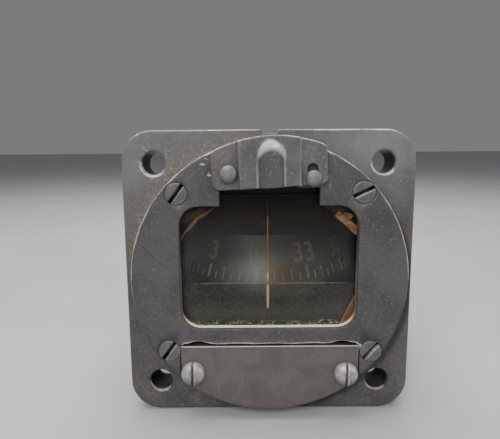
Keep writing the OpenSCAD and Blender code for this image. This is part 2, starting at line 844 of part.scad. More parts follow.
// Upper shell of the float, open below
module float_shell() {
    wall = 0.3;
    color("#a9a088") translate([0, card_y, 0]) {
        rotate_extrude() polygon([
            [hub_r + running, float_high], [hub_r + running, float_high + wall],
            [float_r - wall, float_high + wall], [float_r, float_high],
            [float_r, float_low + wall], [float_r - wall, float_low + wall],
            [float_r - wall, float_high], [float_hole_r + wall, float_high],
            [float_hole_r + wall, float_low + wall], [float_hole_r, float_low + wall],
            [float_hole_r, float_high]]);
        difference() {
            bar_z(hub_r + 1.2, float_high + wall, card_high - card_t);
            bar_z(hub_r + running, float_high, card_high);
        }
    }
}

module float_base() {
    wall = 0.3;
    color("#a9a088") translate([0, card_y, 0]) difference() {
        bar_z(float_r, float_low, float_low + wall);
        bar_z(float_hole_r, float_low - cut, float_low + wall + cut);
    }
}

module magnet_yoke() {
    color("#8e8b84") translate([0, card_y, 0]) difference() {
        union() {
            bar_z(float_r - 1, float_low - yoke_t, float_low);
            box3([-card_magnet_x - 1, -card_magnet_length / 2 + 2, float_low - yoke_t],
                [card_magnet_x + 1, card_magnet_length / 2 - 2, float_low]);
        }
        bar_z(float_hole_r, float_low - yoke_t - cut, float_low + cut);
    }
}

module card_magnets() {
    top = float_low - yoke_t;
    color("#5b5d60") translate([0, card_y, 0]) for (x = [-card_magnet_x, card_magnet_x])
        box3([x - card_magnet_w / 2, -card_magnet_length / 2, top - card_magnet_w],
            [x + card_magnet_w / 2, card_magnet_length / 2, top]);
}

module diaphragm_gasket() {
    color("#2a2a2a") difference() {
        bar_y(case_r - 0.1, case_length, gasket_end);
        bar_y(bowl_r, case_length - cut, gasket_end + cut);
        at_rear_screws() bar_y(rear_shank_r, case_length - cut, gasket_end + cut);
    }
}

// Thin corrugated disc that lets the fluid expand
module expansion_diaphragm() {
    wave = 0.5;
    wave_end = bowl_r - 2;
    steps = 60;
    waves = 3.5;
    front = [for (i = [0 : steps])
        [wave_end * i / steps, gasket_end - wave * sin(90 + 360 * waves * i / steps) + wave]];
    sheet = diaphragm_end - gasket_end;
    color("#b59f62") difference() {
        turned_y() polygon(concat(
            [for (p = front) [p[0], p[1] - 2 * wave]],
            [[case_r - 0.1, gasket_end], [case_r - 0.1, diaphragm_end]],
            [for (i = [steps : -1 : 0]) [front[i][0], front[i][1] - 2 * wave + sheet]]));
        at_rear_screws() bar_y(rear_shank_r, gasket_end - cut, diaphragm_end + cut);
    }
}

module rear_cover() {
    edge = 0.3;
    vent_r = 1.2;
    back_t = 1.5;
    color("#4a4845") difference() {
        turned_y() polygon([[0, diaphragm_end], [case_r, diaphragm_end], [case_r, cover_end - edge],
            [case_r - edge, cover_end], [0, cover_end]]);
        bar_y(bowl_r - 0.6, diaphragm_end - cut, cover_end - back_t);
        bar_y(vent_r, diaphragm_end, cover_end + cut, [0, -15]);
        at_rear_screws() bar_y(rear_shank_r, diaphragm_end - cut, cover_end + cut);
    }
}

module rear_cover_screws() {
    head_r = 1.35;
    head_t = 1.1;
    color("#8f8d87") at_rear_screws() difference() {
        union() {
            bar_y(rear_shank_r, case_length - 5, cover_end);
            bar_y(head_r, cover_end, cover_end + head_t);
        }
        box3([-head_r - cut, cover_end + head_t / 2, -0.2], [head_r + cut, cover_end + head_t + cut, 0.2]);
    }
}

module filler_plug() {
    seal_high = boss_high + filler_seal_t;
    head_r = 3.2;
    head_t = 1.2;
    color("#a8a59b") translate([0, filler_y, 0]) difference() {
        union() {
            bar_z(filler_r, bowl_r + 0.5, seal_high);
            bar_z(head_r, seal_high, seal_high + head_t);
        }
        box3([-head_r - cut, -0.4, seal_high + head_t / 3], [head_r + cut, 0.4, seal_high + head_t + cut]);
    }
}

module filler_seal() {
    color("#6d2f22") translate([0, filler_y, 0]) difference() {
        bar_z(filler_r + 1.5, boss_high, boss_high + filler_seal_t);
        bar_z(filler_r, boss_high - cut, boss_high + filler_seal_t + cut);
    }
}

module data_plate() {
    color("#8f8c84") along_y(cover_end, cover_end + data_plate_t) difference() {
        translate([0, data_plate_z]) rounded(data_plate_w, data_plate_h, 1);
        for (x = [-1, 1]) translate([x * data_pin_x, data_plate_z]) circle(data_pin_r);
    }
}

module data_plate_pins() {
    head_r = 0.9;
    head_t = 0.4;
    plate_end = cover_end + data_plate_t;
    color("#b8b5ad") for (x = [-1, 1]) {
        bar_y(data_pin_r, cover_end, plate_end, [x * data_pin_x, data_plate_z]);
        bar_y(head_r, plate_end, plate_end + head_t, [x * data_pin_x, data_plate_z]);
    }
}

case_body();
front_bezel();
bezel_screws();
window_glass();
glass_gasket();
lubber_line();
lamp_cover();
pivot_stud();
catch_stud();
lamp_bulb();
lamp_base();
lamp_socket();
lamp_contact();
lead_grommet();
compensator_plate();
plate_screws();
compensator_frame();
gear_axles();
ns_adjuster();
ew_adjuster();
ns_upper_gear();
ns_lower_gear();
ew_upper_gear();
ew_lower_gear();
ns_upper_magnets();
ns_lower_magnets();
ew_upper_magnets();
ew_lower_magnets();
pivot_bracket();
bracket_screws();
jewel_post();
jewel_spring();
jewel_cup();
pivot_pin();
pivot_hub();
compass_card();
float_shell();
float_base();
magnet_yoke();
card_magnets();
diaphragm_gasket();
expansion_diaphragm();
rear_cover();
rear_cover_screws();
filler_plug();
filler_seal();
data_plate();
data_plate_pins();
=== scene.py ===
"""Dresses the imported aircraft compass: worn paint, rounded castings, dusty glass, card and lamp cover.

Builders work in millimetres, and meshes are written in metres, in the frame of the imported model.
"""

import json
import logging
import math
from dataclasses import dataclass, field
from enum import Enum
from functools import reduce

import bmesh
import bpy
from bpy.types import Material, Mesh, NodeSocket, Object
from mathutils import Matrix, Vector

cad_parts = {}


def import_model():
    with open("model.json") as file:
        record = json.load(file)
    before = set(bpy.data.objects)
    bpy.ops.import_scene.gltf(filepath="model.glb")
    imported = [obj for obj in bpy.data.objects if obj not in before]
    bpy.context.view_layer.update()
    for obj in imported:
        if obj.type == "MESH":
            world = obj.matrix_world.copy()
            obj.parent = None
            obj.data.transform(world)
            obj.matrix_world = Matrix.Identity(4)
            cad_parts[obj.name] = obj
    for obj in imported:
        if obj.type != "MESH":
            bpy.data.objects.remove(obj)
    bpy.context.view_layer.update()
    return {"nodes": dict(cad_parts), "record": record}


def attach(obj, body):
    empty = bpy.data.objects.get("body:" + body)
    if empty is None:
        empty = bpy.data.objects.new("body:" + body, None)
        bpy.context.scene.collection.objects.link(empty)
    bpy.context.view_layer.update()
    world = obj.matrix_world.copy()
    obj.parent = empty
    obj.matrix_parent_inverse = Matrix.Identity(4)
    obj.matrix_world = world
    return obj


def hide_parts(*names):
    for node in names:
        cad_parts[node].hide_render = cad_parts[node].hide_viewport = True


logging.basicConfig(level=logging.INFO, format="%(name)s: %(message)s")
LOG = logging.getLogger("compass")

MM = 0.001
Point = tuple[float, float]
Place = tuple[float, float, float]
Colour = tuple[float, float, float]
Stroke = tuple[Point, Point, float]
Ring = list[bmesh.types.BMVert]

# Sizes that several pieces share, in millimetres
FLANGE_HALF = 30.15
HOLE_AT = 23.575
FRONT_R = 28.13
FRONT_Y = -3.9
GLASS_R = 23.4
GLASS_Z = (-12.3, 17.3)
OPENING_R = 19.7
PIVOT = (-8.0, 21.3)
CATCH = (8.4, 20.4)

# X, Z and turn in degrees of the screw heads
FLUSH_SLOTS = ((-18.5, 17.55, 53.0), (18.6, 17.7, 25.0), (-20.75, -15.0, 54.0), (20.9, -15.3, 48.0))
DOMED_SLOTS = ((-15.9, -19.7, 90.0), (15.75, -20.0, 88.0))


class Edge(Enum):
    """Which way an outline moves when its edge is rounded."""

    OUTER = 1.0
    HOLE = -1.0


class Cut(Enum):
    """How a tool changes a solid."""

    AWAY = "DIFFERENCE"
    ONTO = "UNION"


def arc(centre: Point, radius: float, start: float, end: float, steps: int) -> list[Point]:
    """Points along an arc, both ends included.

    Args:
        centre: middle of the arc.
        radius: its radius.
        start: first angle in degrees.
        end: last angle in degrees.
        steps: number of stretches.

    Returns:
        The points.
    """
    angles = [math.radians(start + (end - start) * k / steps) for k in range(steps + 1)]
    return [(centre[0] + radius * math.cos(a), centre[1] + radius * math.sin(a)) for a in angles]


def circle(centre: Point, radius: float, steps: int) -> list[Point]:
    """Points round a whole circle, counter-clockwise."""
    return arc(centre, radius, 0, 360, steps)[:-1]


def rounded_box(low: Point, high: Point, radius: float, steps: int) -> list[Point]:
    """Rectangle with round corners, counter-clockwise from the lower right.

    Args:
        low: lower left corner.
        high: upper right corner.
        radius: radius of the corners.
        steps: stretches in each corner.

    Returns:
        The points.
    """
    left, right = low[0] + radius, high[0] - radius
    bottom, top = low[1] + radius, high[1] - radius
    points: list[Point] = []
    for k, centre in enumerate(((right, bottom), (right, top), (left, top), (left, bottom))):
        points += arc(centre, radius, 90 * k - 90, 90 * k, steps)
    return points


def chorded(radius: float, low: float, high: float, steps: int = 40) -> list[Point]:
    """Circle about the origin, cut by a lower and an upper chord.

    Args:
        radius: radius of the circle.
        low: height of the lower chord.
        high: height of the upper chord.
        steps: stretches in each arc.

    Returns:
        The points.
    """
    bottom, top = (math.degrees(math.asin(height / radius)) for height in (low, high))
    return arc((0, 0), radius, bottom, top, steps) + arc((0, 0), radius, 180 - top, 180 - bottom, steps)


def every(value: float | list[float], count: int) -> list[float]:
    """One value for each point, from a list or from a single number."""
    return value if isinstance(value, list) else [value] * count


def clamped(value: float) -> float:
    """Value kept between 0 and 1."""
    return min(1.0, max(0.0, value))


def shifted(points: list[Point], distance: float | list[float], edge: Edge) -> list[Point]:
    """Outline moved into the material by a distance.

    Args:
        points: counter-clockwise outline.
        distance: how far it moves, one value or one for each point.
        edge: whether it is the outer edge or a hole.

    Returns:
        The moved points.
    """
    moved: list[Point] = []
    for (x, z), before, after, far in zip(
        points, points[-1:] + points[:-1], points[1:] + points[:1], every(distance, len(points))
    ):
        n1 = Vector((before[1] - z, x - before[0])).normalized()
        n2 = Vector((z - after[1], after[0] - x)).normalized()
        normal = (n1 + n2) * (far * edge.value / max(0.3, 1 + n1.dot(n2)))
        moved.append((x + normal.x, z + normal.y))
    return moved


def linked(name: str, data: bpy.types.ID) -> Object:
    """New object of the scene for a mesh, a curve, a light or a camera."""
    made = bpy.data.objects.new(name, data)
    bpy.context.scene.collection.objects.link(made)
    return made


def plain_mesh(source: Object) -> Mesh:
    """Mesh of an object as its modifiers leave it."""
    bpy.context.view_layer.update()
    graph = bpy.context.evaluated_depsgraph_get()
    return bpy.data.meshes.new_from_object(source.evaluated_get(graph), depsgraph=graph)


def applied(piece: Object) -> Object:
    """Replaces an object's mesh by its evaluated one and drops the modifiers."""
    data = plain_mesh(piece)
    piece.modifiers.clear()
    piece.data = data
    data.name = piece.name
    return piece


class Skin:
    """A closed mesh made of loops that stand at different depths, with worn edges marked on it."""

    REACH = 0.55
    WELD = 1e-7

    def __init__(self) -> None:
        """Starts with no faces and the first material."""
        self.mesh = bmesh.new()
        self.edge = self.mesh.verts.layers.float.new("edge")
        self.slot = 0

    def loop(self, points: list[Point], depth: float | list[float], worn: float = 0.0) -> Ring:
        """Adds a row of points.

        Args:
            points: their places in X and Z.
            depth: their place along Y, one value or one for each point.
            worn: how worn the surface is along them, from 0 to 1.

        Returns:
            The new vertices.
        """
        depths = every(depth, len(points))
        ring = [self.mesh.verts.new((x * MM, d * MM, z * MM)) for (x, z), d in zip(points, depths)]
        for vert in ring:
            vert[self.edge] = worn
        return ring

    def wall(self, a: Ring, b: Ring, closed: bool = True) -> None:
        """Joins two rows of the same length with quads."""
        for i in range(len(a) if closed else len(a) - 1):
            j = (i + 1) % len(a)
            self.mesh.faces.new((a[i], a[j], b[j], b[i])).material_index = self.slot

    def band(self, points: list[Point], front: float, back: float) -> tuple[Ring, Ring]:
        """Adds a straight wall between two depths and gives the loops at its ends."""
        first, last = self.loop(points, front), self.loop(points, back)
        self.wall(first, last)
        return first, last

    def tube(self, rings: list[Ring], slots: list[int] | None = None) -> None:
        """Joins rings that follow each other and caps both ends.

        Args:
            rings: the rings.
            slots: material of the stretch that ends at each ring.
        """
        self.mesh.faces.new(rings[0])
        for k in range(1, len(rings)):
            self.slot = slots[k] if slots else self.slot
            self.wall(rings[k - 1], rings[k])
        self.mesh.faces.new(list(reversed(rings[-1]))).material_index = self.slot

    def face(self, *loops: Ring) -> None:
        """Fills the area between the first loop and the others inside it."""
        edges = []
        for ring in loops:
            for pair in zip(ring, ring[1:] + ring[:1]):
                edges.append(self.mesh.edges.get(pair) or self.mesh.edges.new(pair))
        made = bmesh.ops.triangle_fill(self.mesh, edges=edges, use_beauty=True, use_dissolve=False)
        for item in made["geom"]:
            if isinstance(item, bmesh.types.BMFace):
                item.material_index = self.slot

    def rounded(
        self, points: list[Point], front: float, back: float, radius: float | list[float], edge: Edge,
        steps: int = 4, worn: float = 1.0, reach: float | list[float] = REACH,
    ) -> tuple[Ring, Ring]:
        """Adds a wall with a rounded edge where it starts.

        Args:
            points: outline of the wall.
            front: depth of the face that the wall starts from.
            back: depth at which the wall ends.
            radius: radius of the rounding, one value or one for each point.
            edge: outer edge or hole.
            steps: stretches in the rounding.
            worn: how worn the edge is.
            reach: how far the wear fades out on the face, one value or one for each point.

        Returns:
            The loop on the first face and the loop at the back.
        """
        radii = every(radius, len(points))
        way = 1 if back > front else -1
        deep = min(self.REACH, max(abs(back - front) - max(radii), 0.05) * 0.8)
        inward = [r + far for r, far in zip(radii, every(reach, len(points)))]
        first = self.loop(shifted(points, inward, edge), front)
        previous = first
        for k in range(steps + 1):
            turn = math.pi / 2 * k / steps
            inset = [r * (1 - math.sin(turn)) for r in radii]
            depths = [front + way * r * (1 - math.cos(turn)) for r in radii]
            ring = self.loop(shifted(points, inset, edge), depths, worn * (0.35 + 0.65 * k / steps))
            self.wall(previous, ring)
            previous = ring
        below = self.loop(points, [front + way * (r + deep) for r in radii])
        self.wall(previous, below)
        last = self.loop(points, back)
        self.wall(below, last)
        return first, last

    def finish(self, name: str, materials: list[Material], sharp: float = 35.0) -> Object:
        """Turns the skin into an object, smooth with firm flats.

        Args:
            name: name of the object.
            materials: its materials, in the order of the slots.
            sharp: angle in degrees past which an edge stays sharp.

        Returns:
            The object.
        """
        bmesh.ops.remove_doubles(self.mesh, verts=self.mesh.verts, dist=self.WELD)
        bmesh.ops.recalc_face_normals(self.mesh, faces=self.mesh.faces)
        data = bpy.data.meshes.new(name)
        self.mesh.to_mesh(data)
        self.mesh.free()
        for material in materials:
            data.materials.append(material)
        data.polygons.foreach_set("use_smooth", [True] * len(data.polygons))
        data.set_sharp_from_angle(angle=math.radians(sharp))
        piece = linked(name, data)
        weighted = piece.modifiers.new("firm_flats", "WEIGHTED_NORMAL")
        weighted.keep_sharp = True
        weighted.weight = 100
        return applied(piece)


def joined(piece: Object, tool: Object, cut: Cut) -> None:
    """Cuts a tool out of a piece, or joins the two, and removes the tool.

    Args:
        piece: the object to change.
        tool: the other solid.
        cut: whether the tool is taken away or added.
    """
    change = piece.modifiers.new("solid", "BOOLEAN")
    change.operation = cut.value
    change.solver = "EXACT"
    change.object = tool
    applied(piece)
    bpy.data.objects.remove(tool)


def turned(profile: list[Place]) -> Object:
    """Solid turned about the Y axis, without a finish.

    Args:
        profile: radius, depth and wear of each ring, from the front to the back.

    Returns:
        The object, centred on the axis.
    """
    skin = Skin()
    rings = [skin.loop(circle((0, 0), radius, 48), depth, worn) for radius, depth, worn in profile]
    for a, b in zip(rings, rings[1:]):
        skin.wall(a, b)
    skin.face(rings[0])
    skin.face(rings[-1])
    return skin.finish("head", [])


def prism(outline: list[Point], front: float, back: float) -> Object:
    """Plain solid between two depths, used as a tool.

    Args:
        outline: counter-clockwise outline in X and Z.
        front: depth of its front.
        back: depth of its back.

    Returns:
        The object.
    """
    skin = Skin()
    for ring in skin.band(outline, front, back):
        skin.face(ring)
    return skin.finish("tool", [])


class Value:
    """Output of a node; numbers can be added, subtracted, multiplied and divided."""

    def __init__(self, nodes: "Nodes", socket: NodeSocket) -> None:
        """Keeps the socket and the tree in which it stands."""
        self.nodes = nodes
        self.socket = socket

    def __add__(self, other: "Number") -> "Value":
        """Sum of the two."""
        return self.nodes.math("ADD", self, other)

    def __sub__(self, other: "Number") -> "Value":
        """This value less the other."""
        return self.nodes.math("SUBTRACT", self, other)

    def __rsub__(self, other: float) -> "Value":
        """A plain number less this value."""
        return self.nodes.math("SUBTRACT", other, self)

    def __mul__(self, other: "Number") -> "Value":
        """Product of the two."""
        return self.nodes.math("MULTIPLY", self, other)

    def __truediv__(self, other: "Number") -> "Value":
        """This value divided by the other."""
        return self.nodes.math("DIVIDE", self, other)

    def __rtruediv__(self, other: float) -> "Value":
        """A plain number divided by this value."""
        return self.nodes.math("DIVIDE", other, self)

    def __abs__(self) -> "Value":
        """This value without its sign."""
        return self.nodes.math("ABSOLUTE", self)

    __radd__ = __add__
    __rmul__ = __mul__


Number = Value | float
Tone = Value | Colour


class Nodes:
    """Node tree that is filled one node at a time."""

    def __init__(self, tree: bpy.types.NodeTree) -> None:
        """Keeps the tree."""
        self.tree = tree

    def put(self, socket: NodeSocket, value: object) -> None:
        """Links a socket to an output, or sets it to a constant.

        Args:
            socket: the input to fill.
            value: an output, a number, a colour or a place.
        """
        value = value.socket if isinstance(value, Value) else value
        if isinstance(value, NodeSocket):
            self.tree.links.new(value, socket)
        elif socket.type == "RGBA" and len(value) == 3:
            socket.default_value = (*value, 1.0)
        else:
            socket.default_value = value

    def node(self, kind: str, *values: object, **named: object) -> bpy.types.Node:
        """Adds a node.

        Args:
            kind: its type.
            values: what goes into its first inputs, in order.
            named: what goes into its inputs by name, with underscores for spaces.

        Returns:
            The node.
        """
        made = self.tree.nodes.new(kind)
        for socket, value in zip(made.inputs, values):
            self.put(socket, value)
        for name, value in named.items():
            self.put(made.inputs[name.replace("_", " ")], value)
        return made

    def math(self, kind: str, *values: Number) -> Value:
        """Result of one step of arithmetic on one or two values."""
        made = self.node("ShaderNodeMath", *values)
        made.operation = kind
        return Value(self, made.outputs[0])


class CopyTree(Nodes):
    """Geometry Nodes tree that sets copies of a mesh at points and ends as one dressed mesh."""

    def __init__(self, name: str, **inputs: str) -> None:
        """Starts the tree.

        Args:
            name: its name.
            inputs: kind of socket for each named input.
        """
        super().__init__(bpy.data.node_groups.new(name, "GeometryNodeTree"))
        sides = [(label, "INPUT", kind) for label, kind in inputs.items()]
        for label, side, kind in (*sides, ("Finish", "INPUT", "Material"), ("Result", "OUTPUT", "Geometry")):
            self.tree.interface.new_socket(label, in_out=side, socket_type=f"NodeSocket{kind}")
        self.start = self.node("NodeGroupInput")

    def given(self, name: str) -> Value:
        """What the tree is given under one of its inputs' names."""
        return Value(self, self.start.outputs[name])

    def spread(self, points: object, shape: object, turn: object, size: object = (1.0, 1.0, 1.0)) -> None:
        """Sets the copies, makes them one mesh, dresses it and ends the tree.

        Args:
            points: geometry with the places.
            shape: geometry of one copy.
            turn: its turn about the three axes.
            size: its size along them.
        """
        copies = self.node(
            "GeometryNodeInstanceOnPoints", Points=points, Instance=shape, Rotation=turn, Scale=size
        ).outputs[0]
        real = self.node("GeometryNodeRealizeInstances", copies).outputs[0]
        dressed = self.node("GeometryNodeSetMaterial", Geometry=real, Material=self.given("Finish"))
        self.node("NodeGroupOutput", Result=dressed.outputs[0])

    def run(self, name: str, data: Mesh, **values: object) -> Object:
        """Runs the tree on a mesh and leaves a plain one.

        Args:
            name: name of the new piece.
            data: the mesh that it starts from.
            values: what goes into the tree's inputs.

        Returns:
            The piece.
        """
        piece = linked(name, data)
        change = piece.modifiers.new("copies", "NODES")
        change.node_group = self.tree
        for item in self.tree.interface.items_tree:
            if item.name in values:
                change[item.identifier] = values[item.name]
        return applied(piece)


class Graph(Nodes):
    """Builds one material's nodes; places are in millimetres of the shared frame."""

    def __init__(self, name: str) -> None:
        """Starts a material with its surface shader and the position split into axes."""
        self.material = bpy.data.materials.new(name)
        self.material.use_nodes = True
        super().__init__(self.material.node_tree)
        self.shader = self.tree.nodes["Principled BSDF"]
        grown = self.node("ShaderNodeVectorMath", self.node("ShaderNodeTexCoord").outputs["Object"])
        grown.operation = "SCALE"
        grown.inputs["Scale"].default_value = 1 / MM
        self.place = grown.outputs[0]
        axes = self.node("ShaderNodeSeparateXYZ", self.place).outputs
        self.x, self.y, self.z = (Value(self, axis) for axis in axes)

    def shade(self, **values: object) -> None:
        """Fills inputs of the surface shader; underscores stand for spaces in their names."""
        for key, value in values.items():
            self.put(self.shader.inputs[key.replace("_", " ")], value)

    def most(self, *values: Number) -> Value:
        """Largest of several values."""
        return reduce(lambda a, b: self.math("MAXIMUM", a, b), values)

    def radius(self, a: Value, b: Value) -> Value:
        """Length of a flat vector with these two parts."""
        return self.math("SQRT", a * a + b * b)

    def step(self, value: Value, low: float, high: float) -> Value:
        """Goes smoothly from 0 at the low value to 1 at the high one.

        Args:
            value: the value to judge.
            low: where the result is 0; may be larger than the high value.
            high: where the result is 1.

        Returns:
            The result, between 0 and 1.
        """
        falls = float(low > high)
        ends = (min(low, high), max(low, high), falls, 1.0 - falls)
        made = self.node("ShaderNodeMapRange", value, *ends)
        made.interpolation_type = "SMOOTHSTEP"
        return Value(self, made.outputs["Result"])

    def spot(self, seed: float, stretch: Place = (1.0, 1.0, 1.0), turn: float = 0.0) -> NodeSocket:
        """Place as a pattern reads it.

        Args:
            seed: shift that picks another pattern.
            stretch: factors by which features are shorter along each axis.
            turn: angle in degrees about the depth axis before the stretch.

        Returns:
            The moved, turned and stretched place.
        """
        shift = (seed, seed * 0.7, seed * 1.3)
        made = self.node("ShaderNodeMapping", self.place, Location=shift, Scale=stretch)
        if turn:
            made.vector_type = "TEXTURE"
            self.put(made.inputs["Rotation"], (0.0, math.radians(turn), 0.0))
            self.put(made.inputs["Scale"], tuple(1.0 / s for s in stretch))
        return made.outputs[0]

    def noise(
        self, size: float, detail: float = 3.0, rough: float = 0.55, bend: float = 0.0,
        stretch: Place = (1.0, 1.0, 1.0), turn: float = 0.0, seed: float = 0.0,
    ) -> Value:
        """Cloudy noise around 0.5.

        Args:
            size: size of its features in millimetres.
            detail: number of finer layers.
            rough: weight of the finer layers.
            bend: how far the noise distorts itself.
            stretch: factors by which features are shorter along each axis.
            turn: angle in degrees about the depth axis before the stretch.
            seed: shift that picks another pattern.

        Returns:
            The noise value.
        """
        made = self.node(
            "ShaderNodeTexNoise", self.spot(seed, stretch, turn),
            Scale=1.0 / size, Detail=detail, Roughness=rough, Distortion=bend,
        )
        return Value(self, made.outputs[0])

    def clouds(
        self, low: float, high: float, size: float, *more: float, **named: object
    ) -> Value:
        """Noise stretched to run from 0 to 1 between two of its values.

        Args:
            low: noise value where the result is 0.
            high: noise value where the result is 1.
            size: size of its features in millimetres.
            more: detail and roughness of the noise.
            named: other settings of the noise.

        Returns:
            The result, between 0 and 1.
        """
        return self.step(self.noise(size, *more, **named), low, high)

    def cells(self, size: float, seed: float) -> Value:
        """Distance to the nearest of many scattered points, in units of their spacing in millimetres."""
        made = self.node("ShaderNodeTexVoronoi", self.spot(seed), Scale=1.0 / size)
        return Value(self, made.outputs["Distance"])

    def mix(self, share: Number, a: Tone, b: Tone) -> Value:
        """Blends two colours.

        Args:
            share: how much of the second colour shows.
            a: first colour.
            b: second colour.

        Returns:
            The blend.
        """
        made = self.node("ShaderNodeMix", share)
        made.data_type = "RGBA"
        for socket, value in zip([s for s in made.inputs if s.type == "RGBA"], (a, b)):
            self.put(socket, value)
        return Value(self, next(s for s in made.outputs if s.type == "RGBA"))

    def blend(self, share: Value, a: Number, b: Number) -> Value:
        """Blends two numbers, with the share of the second one first."""
        return (1.0 - share) * a + share * b

    def bump(self, height: Value, depth: float, under: Value | None = None) -> Value:
        """Surface relief.

        Args:
            height: the relief as a value.
            depth: millimetres of relief per unit of the value.
            under: normal of a coarser relief below it.

        Returns:
            The new normal.
        """
        coarser = {} if under is None else {"Normal": under}
        made = self.node("ShaderNodeBump", Distance=depth * MM, Height=height, **coarser)
        return Value(self, made.outputs[0])

    def worn(self) -> Value:
        """Number that the mesh carries for how near an edge is, 1 on it."""
        made = self.node("ShaderNodeAttribute")
        made.attribute_name = "edge"
        return Value(self, made.outputs["Fac"])

    def front(self) -> Value:
        """1 on the flange's front face and ahead of it, 0 behind."""
        return self.step(self.y, 0.6, 0.2)

    def slant(self, across: float, up: float) -> Value:
        """Place along a direction of the front, given by its parts in X and Z."""
        return self.x * across + self.z * up

    def off_box(self, centre: Point, half: Point, corner: float) -> Value:
        """Distance from a rectangle with round corners, negative inside it.

        Args:
            centre: its middle in X and Z.
            half: half its width and height.
            corner: radius of its corners.

        Returns:
            The distance in millimetres.
        """
        across = abs(self.x - centre[0]) - (half[0] - corner)
        up = abs(self.z - centre[1]) - (half[1] - corner)
        outside = self.radius(self.most(across, 0.0), self.most(up, 0.0))
        return outside + self.math("MINIMUM", self.most(across, up), 0.0) - corner

    def off_circle(self, centre: Point, radius: float, flat: float = 1.0) -> Value:
        """Distance from a circle, or from one that is widened by 1 / flat; negative inside it."""
        across = (self.x - centre[0]) * flat
        return self.radius(across, self.z - centre[1]) - radius

    def off_hole(self) -> tuple[Value, Value]:
        """Place across and up from the middle of the nearest mounting hole."""
        holes = [self.math("SIGN", axis) * HOLE_AT for axis in (self.x, self.z)]
        return self.x - holes[0], self.z - holes[1]

    def fleck_and_glint(self, centre: Point, half: float, high: float) -> Value:
        """Small ragged spot, 1 on it and 0 off it, used for spots of foreign paint and for a painted glint.
        """
        across = (self.x - centre[0]) * (1 / half)
        up = (self.z - centre[1]) * (1 / high)
        ragged = (self.noise(0.4, 3, 0.7, seed=17.0) - 0.5) * 1.4
        return self.step(self.radius(across, up) + ragged, 1.1, 0.8)

    def strokes(self, *lines: Stroke) -> Value:
        """Thin scratches on the front.

        Args:
            lines: both ends and the width of each.

        Returns:
            1 on the scratches and 0 off them.
        """
        drawn = []
        for start, end, width in lines:
            length = math.dist(start, end)
            ux, uz = (end[0] - start[0]) / length, (end[1] - start[1]) / length
            dx, dz = self.x - start[0], self.z - start[1]
            along = dx * ux + dz * uz
            away = abs(dx * uz - dz * ux)
            inside = self.step(along, 0.0, 0.4) * self.step(along, length, length - 0.6)
            drawn.append(inside * self.step(away, width * 0.5, width * 0.15))
        return self.most(*drawn)


def scaled(colour: Colour, factor: float) -> Colour:
    """Colour made darker or brighter."""
    return tuple(min(1.0, part * factor) for part in colour)


@dataclass(frozen=True)
class WornPaint:
    """Old matt paint that has worn to bare metal along its edges.

    Args:
        name: name of the material.
        paint: colour of sound paint.
        shade: colour where the paint is dirty or darkened.
        bare: colour of the metal underneath.
        grime: colour of the dirt on it.
    """

    name: str
    paint: Colour = (0.098, 0.094, 0.092)
    shade: Colour = (0.064, 0.060, 0.057)
    bare: Colour = (0.66, 0.645, 0.615)
    grime: Colour = (0.15, 0.115, 0.075)

    def wear_and_highlight(self, g: Graph) -> Number:
        """How strongly a region's edges brighten, from 0 to 1: wear, and in some regions a painted highlight
        where light from above falls on them.
        """
        return 0.6

    def marks(self, g: Graph) -> tuple[Number, Number]:
        """Share of bright rubbed places and share of grime that belong to one region; on the lamp cover the
        bright places are partly painted highlight.
        """
        return 0.0, g.clouds(0.52, 0.7, 6.0, 4, 0.7, seed=7.0) * 0.2

    def own_tone(self, g: Graph, colour: Value) -> Value:
        """Paint's colour with what only one region has."""
        return colour

    def edge(self, g: Graph) -> Value:
        """How bright a spot near an edge is, from the mesh's own mark: bare metal, and in some regions
        painted highlight.
        """
        ragged = g.noise(0.8, 4, 0.7, seed=3.1)
        patchy = g.clouds(0.34, 0.6, 6.0, 2, 0.6, seed=11.0)
        gain = self.wear_and_highlight(g) * (0.9 + patchy * 0.35)
        reach = g.worn() * gain + (ragged - 0.5) * 0.5
        return g.step(reach, 0.62, 0.88) * g.step(g.worn(), 0.05, 0.3)

    def build(self) -> Material:
        """Makes the material."""
        g = Graph(self.name)
        cloud = g.noise(9.0, 5, 0.65, bend=0.4)
        grain = g.noise(0.55, 3, 0.6, seed=1.7)
        fine = g.noise(0.16, 2, 0.5, seed=2.9)
        colour = g.mix(g.step(cloud, 0.34, 0.66), self.shade, self.paint)
        colour = g.mix(g.step(grain, 0.52, 0.7) * 0.75, colour, scaled(self.paint, 1.5))
        pits = g.clouds(0.56, 0.68, 0.4, 3, 0.7, seed=61.0) * 0.5
        colour = g.mix(pits, colour, scaled(self.shade, 0.6))
        speck = g.step(g.cells(1.5, 4.0), 0.1, 0.045) * g.clouds(0.46, 0.6, 4.0, 2, seed=20.0)
        colour = self.own_tone(g, colour)
        rubbed, dirt = self.marks(g)
        colour = g.mix(dirt, colour, self.grime)
        # Bright edge colour: bare metal where worn, and in some regions painted highlight.
        bare = g.most(self.edge(g), rubbed, speck * 0.55)
        metal = g.mix(g.step(grain, 0.3, 0.7), scaled(self.bare, 0.55), self.bare)
        g.shade(Base_Color=g.mix(bare, colour, metal), Metallic=bare * 0.25, Specular_IOR_Level=0.42)
        g.shade(Roughness=g.blend(bare, 0.5 + (cloud - 0.5) * 0.35, 0.36))
        coarse = g.bump(g.noise(2.4, 3, 0.55, seed=15.0) - bare * 0.35, 0.09)
        g.shade(Normal=g.bump(grain * 0.7 + fine * 0.5, 0.035, coarse))
        return g.material


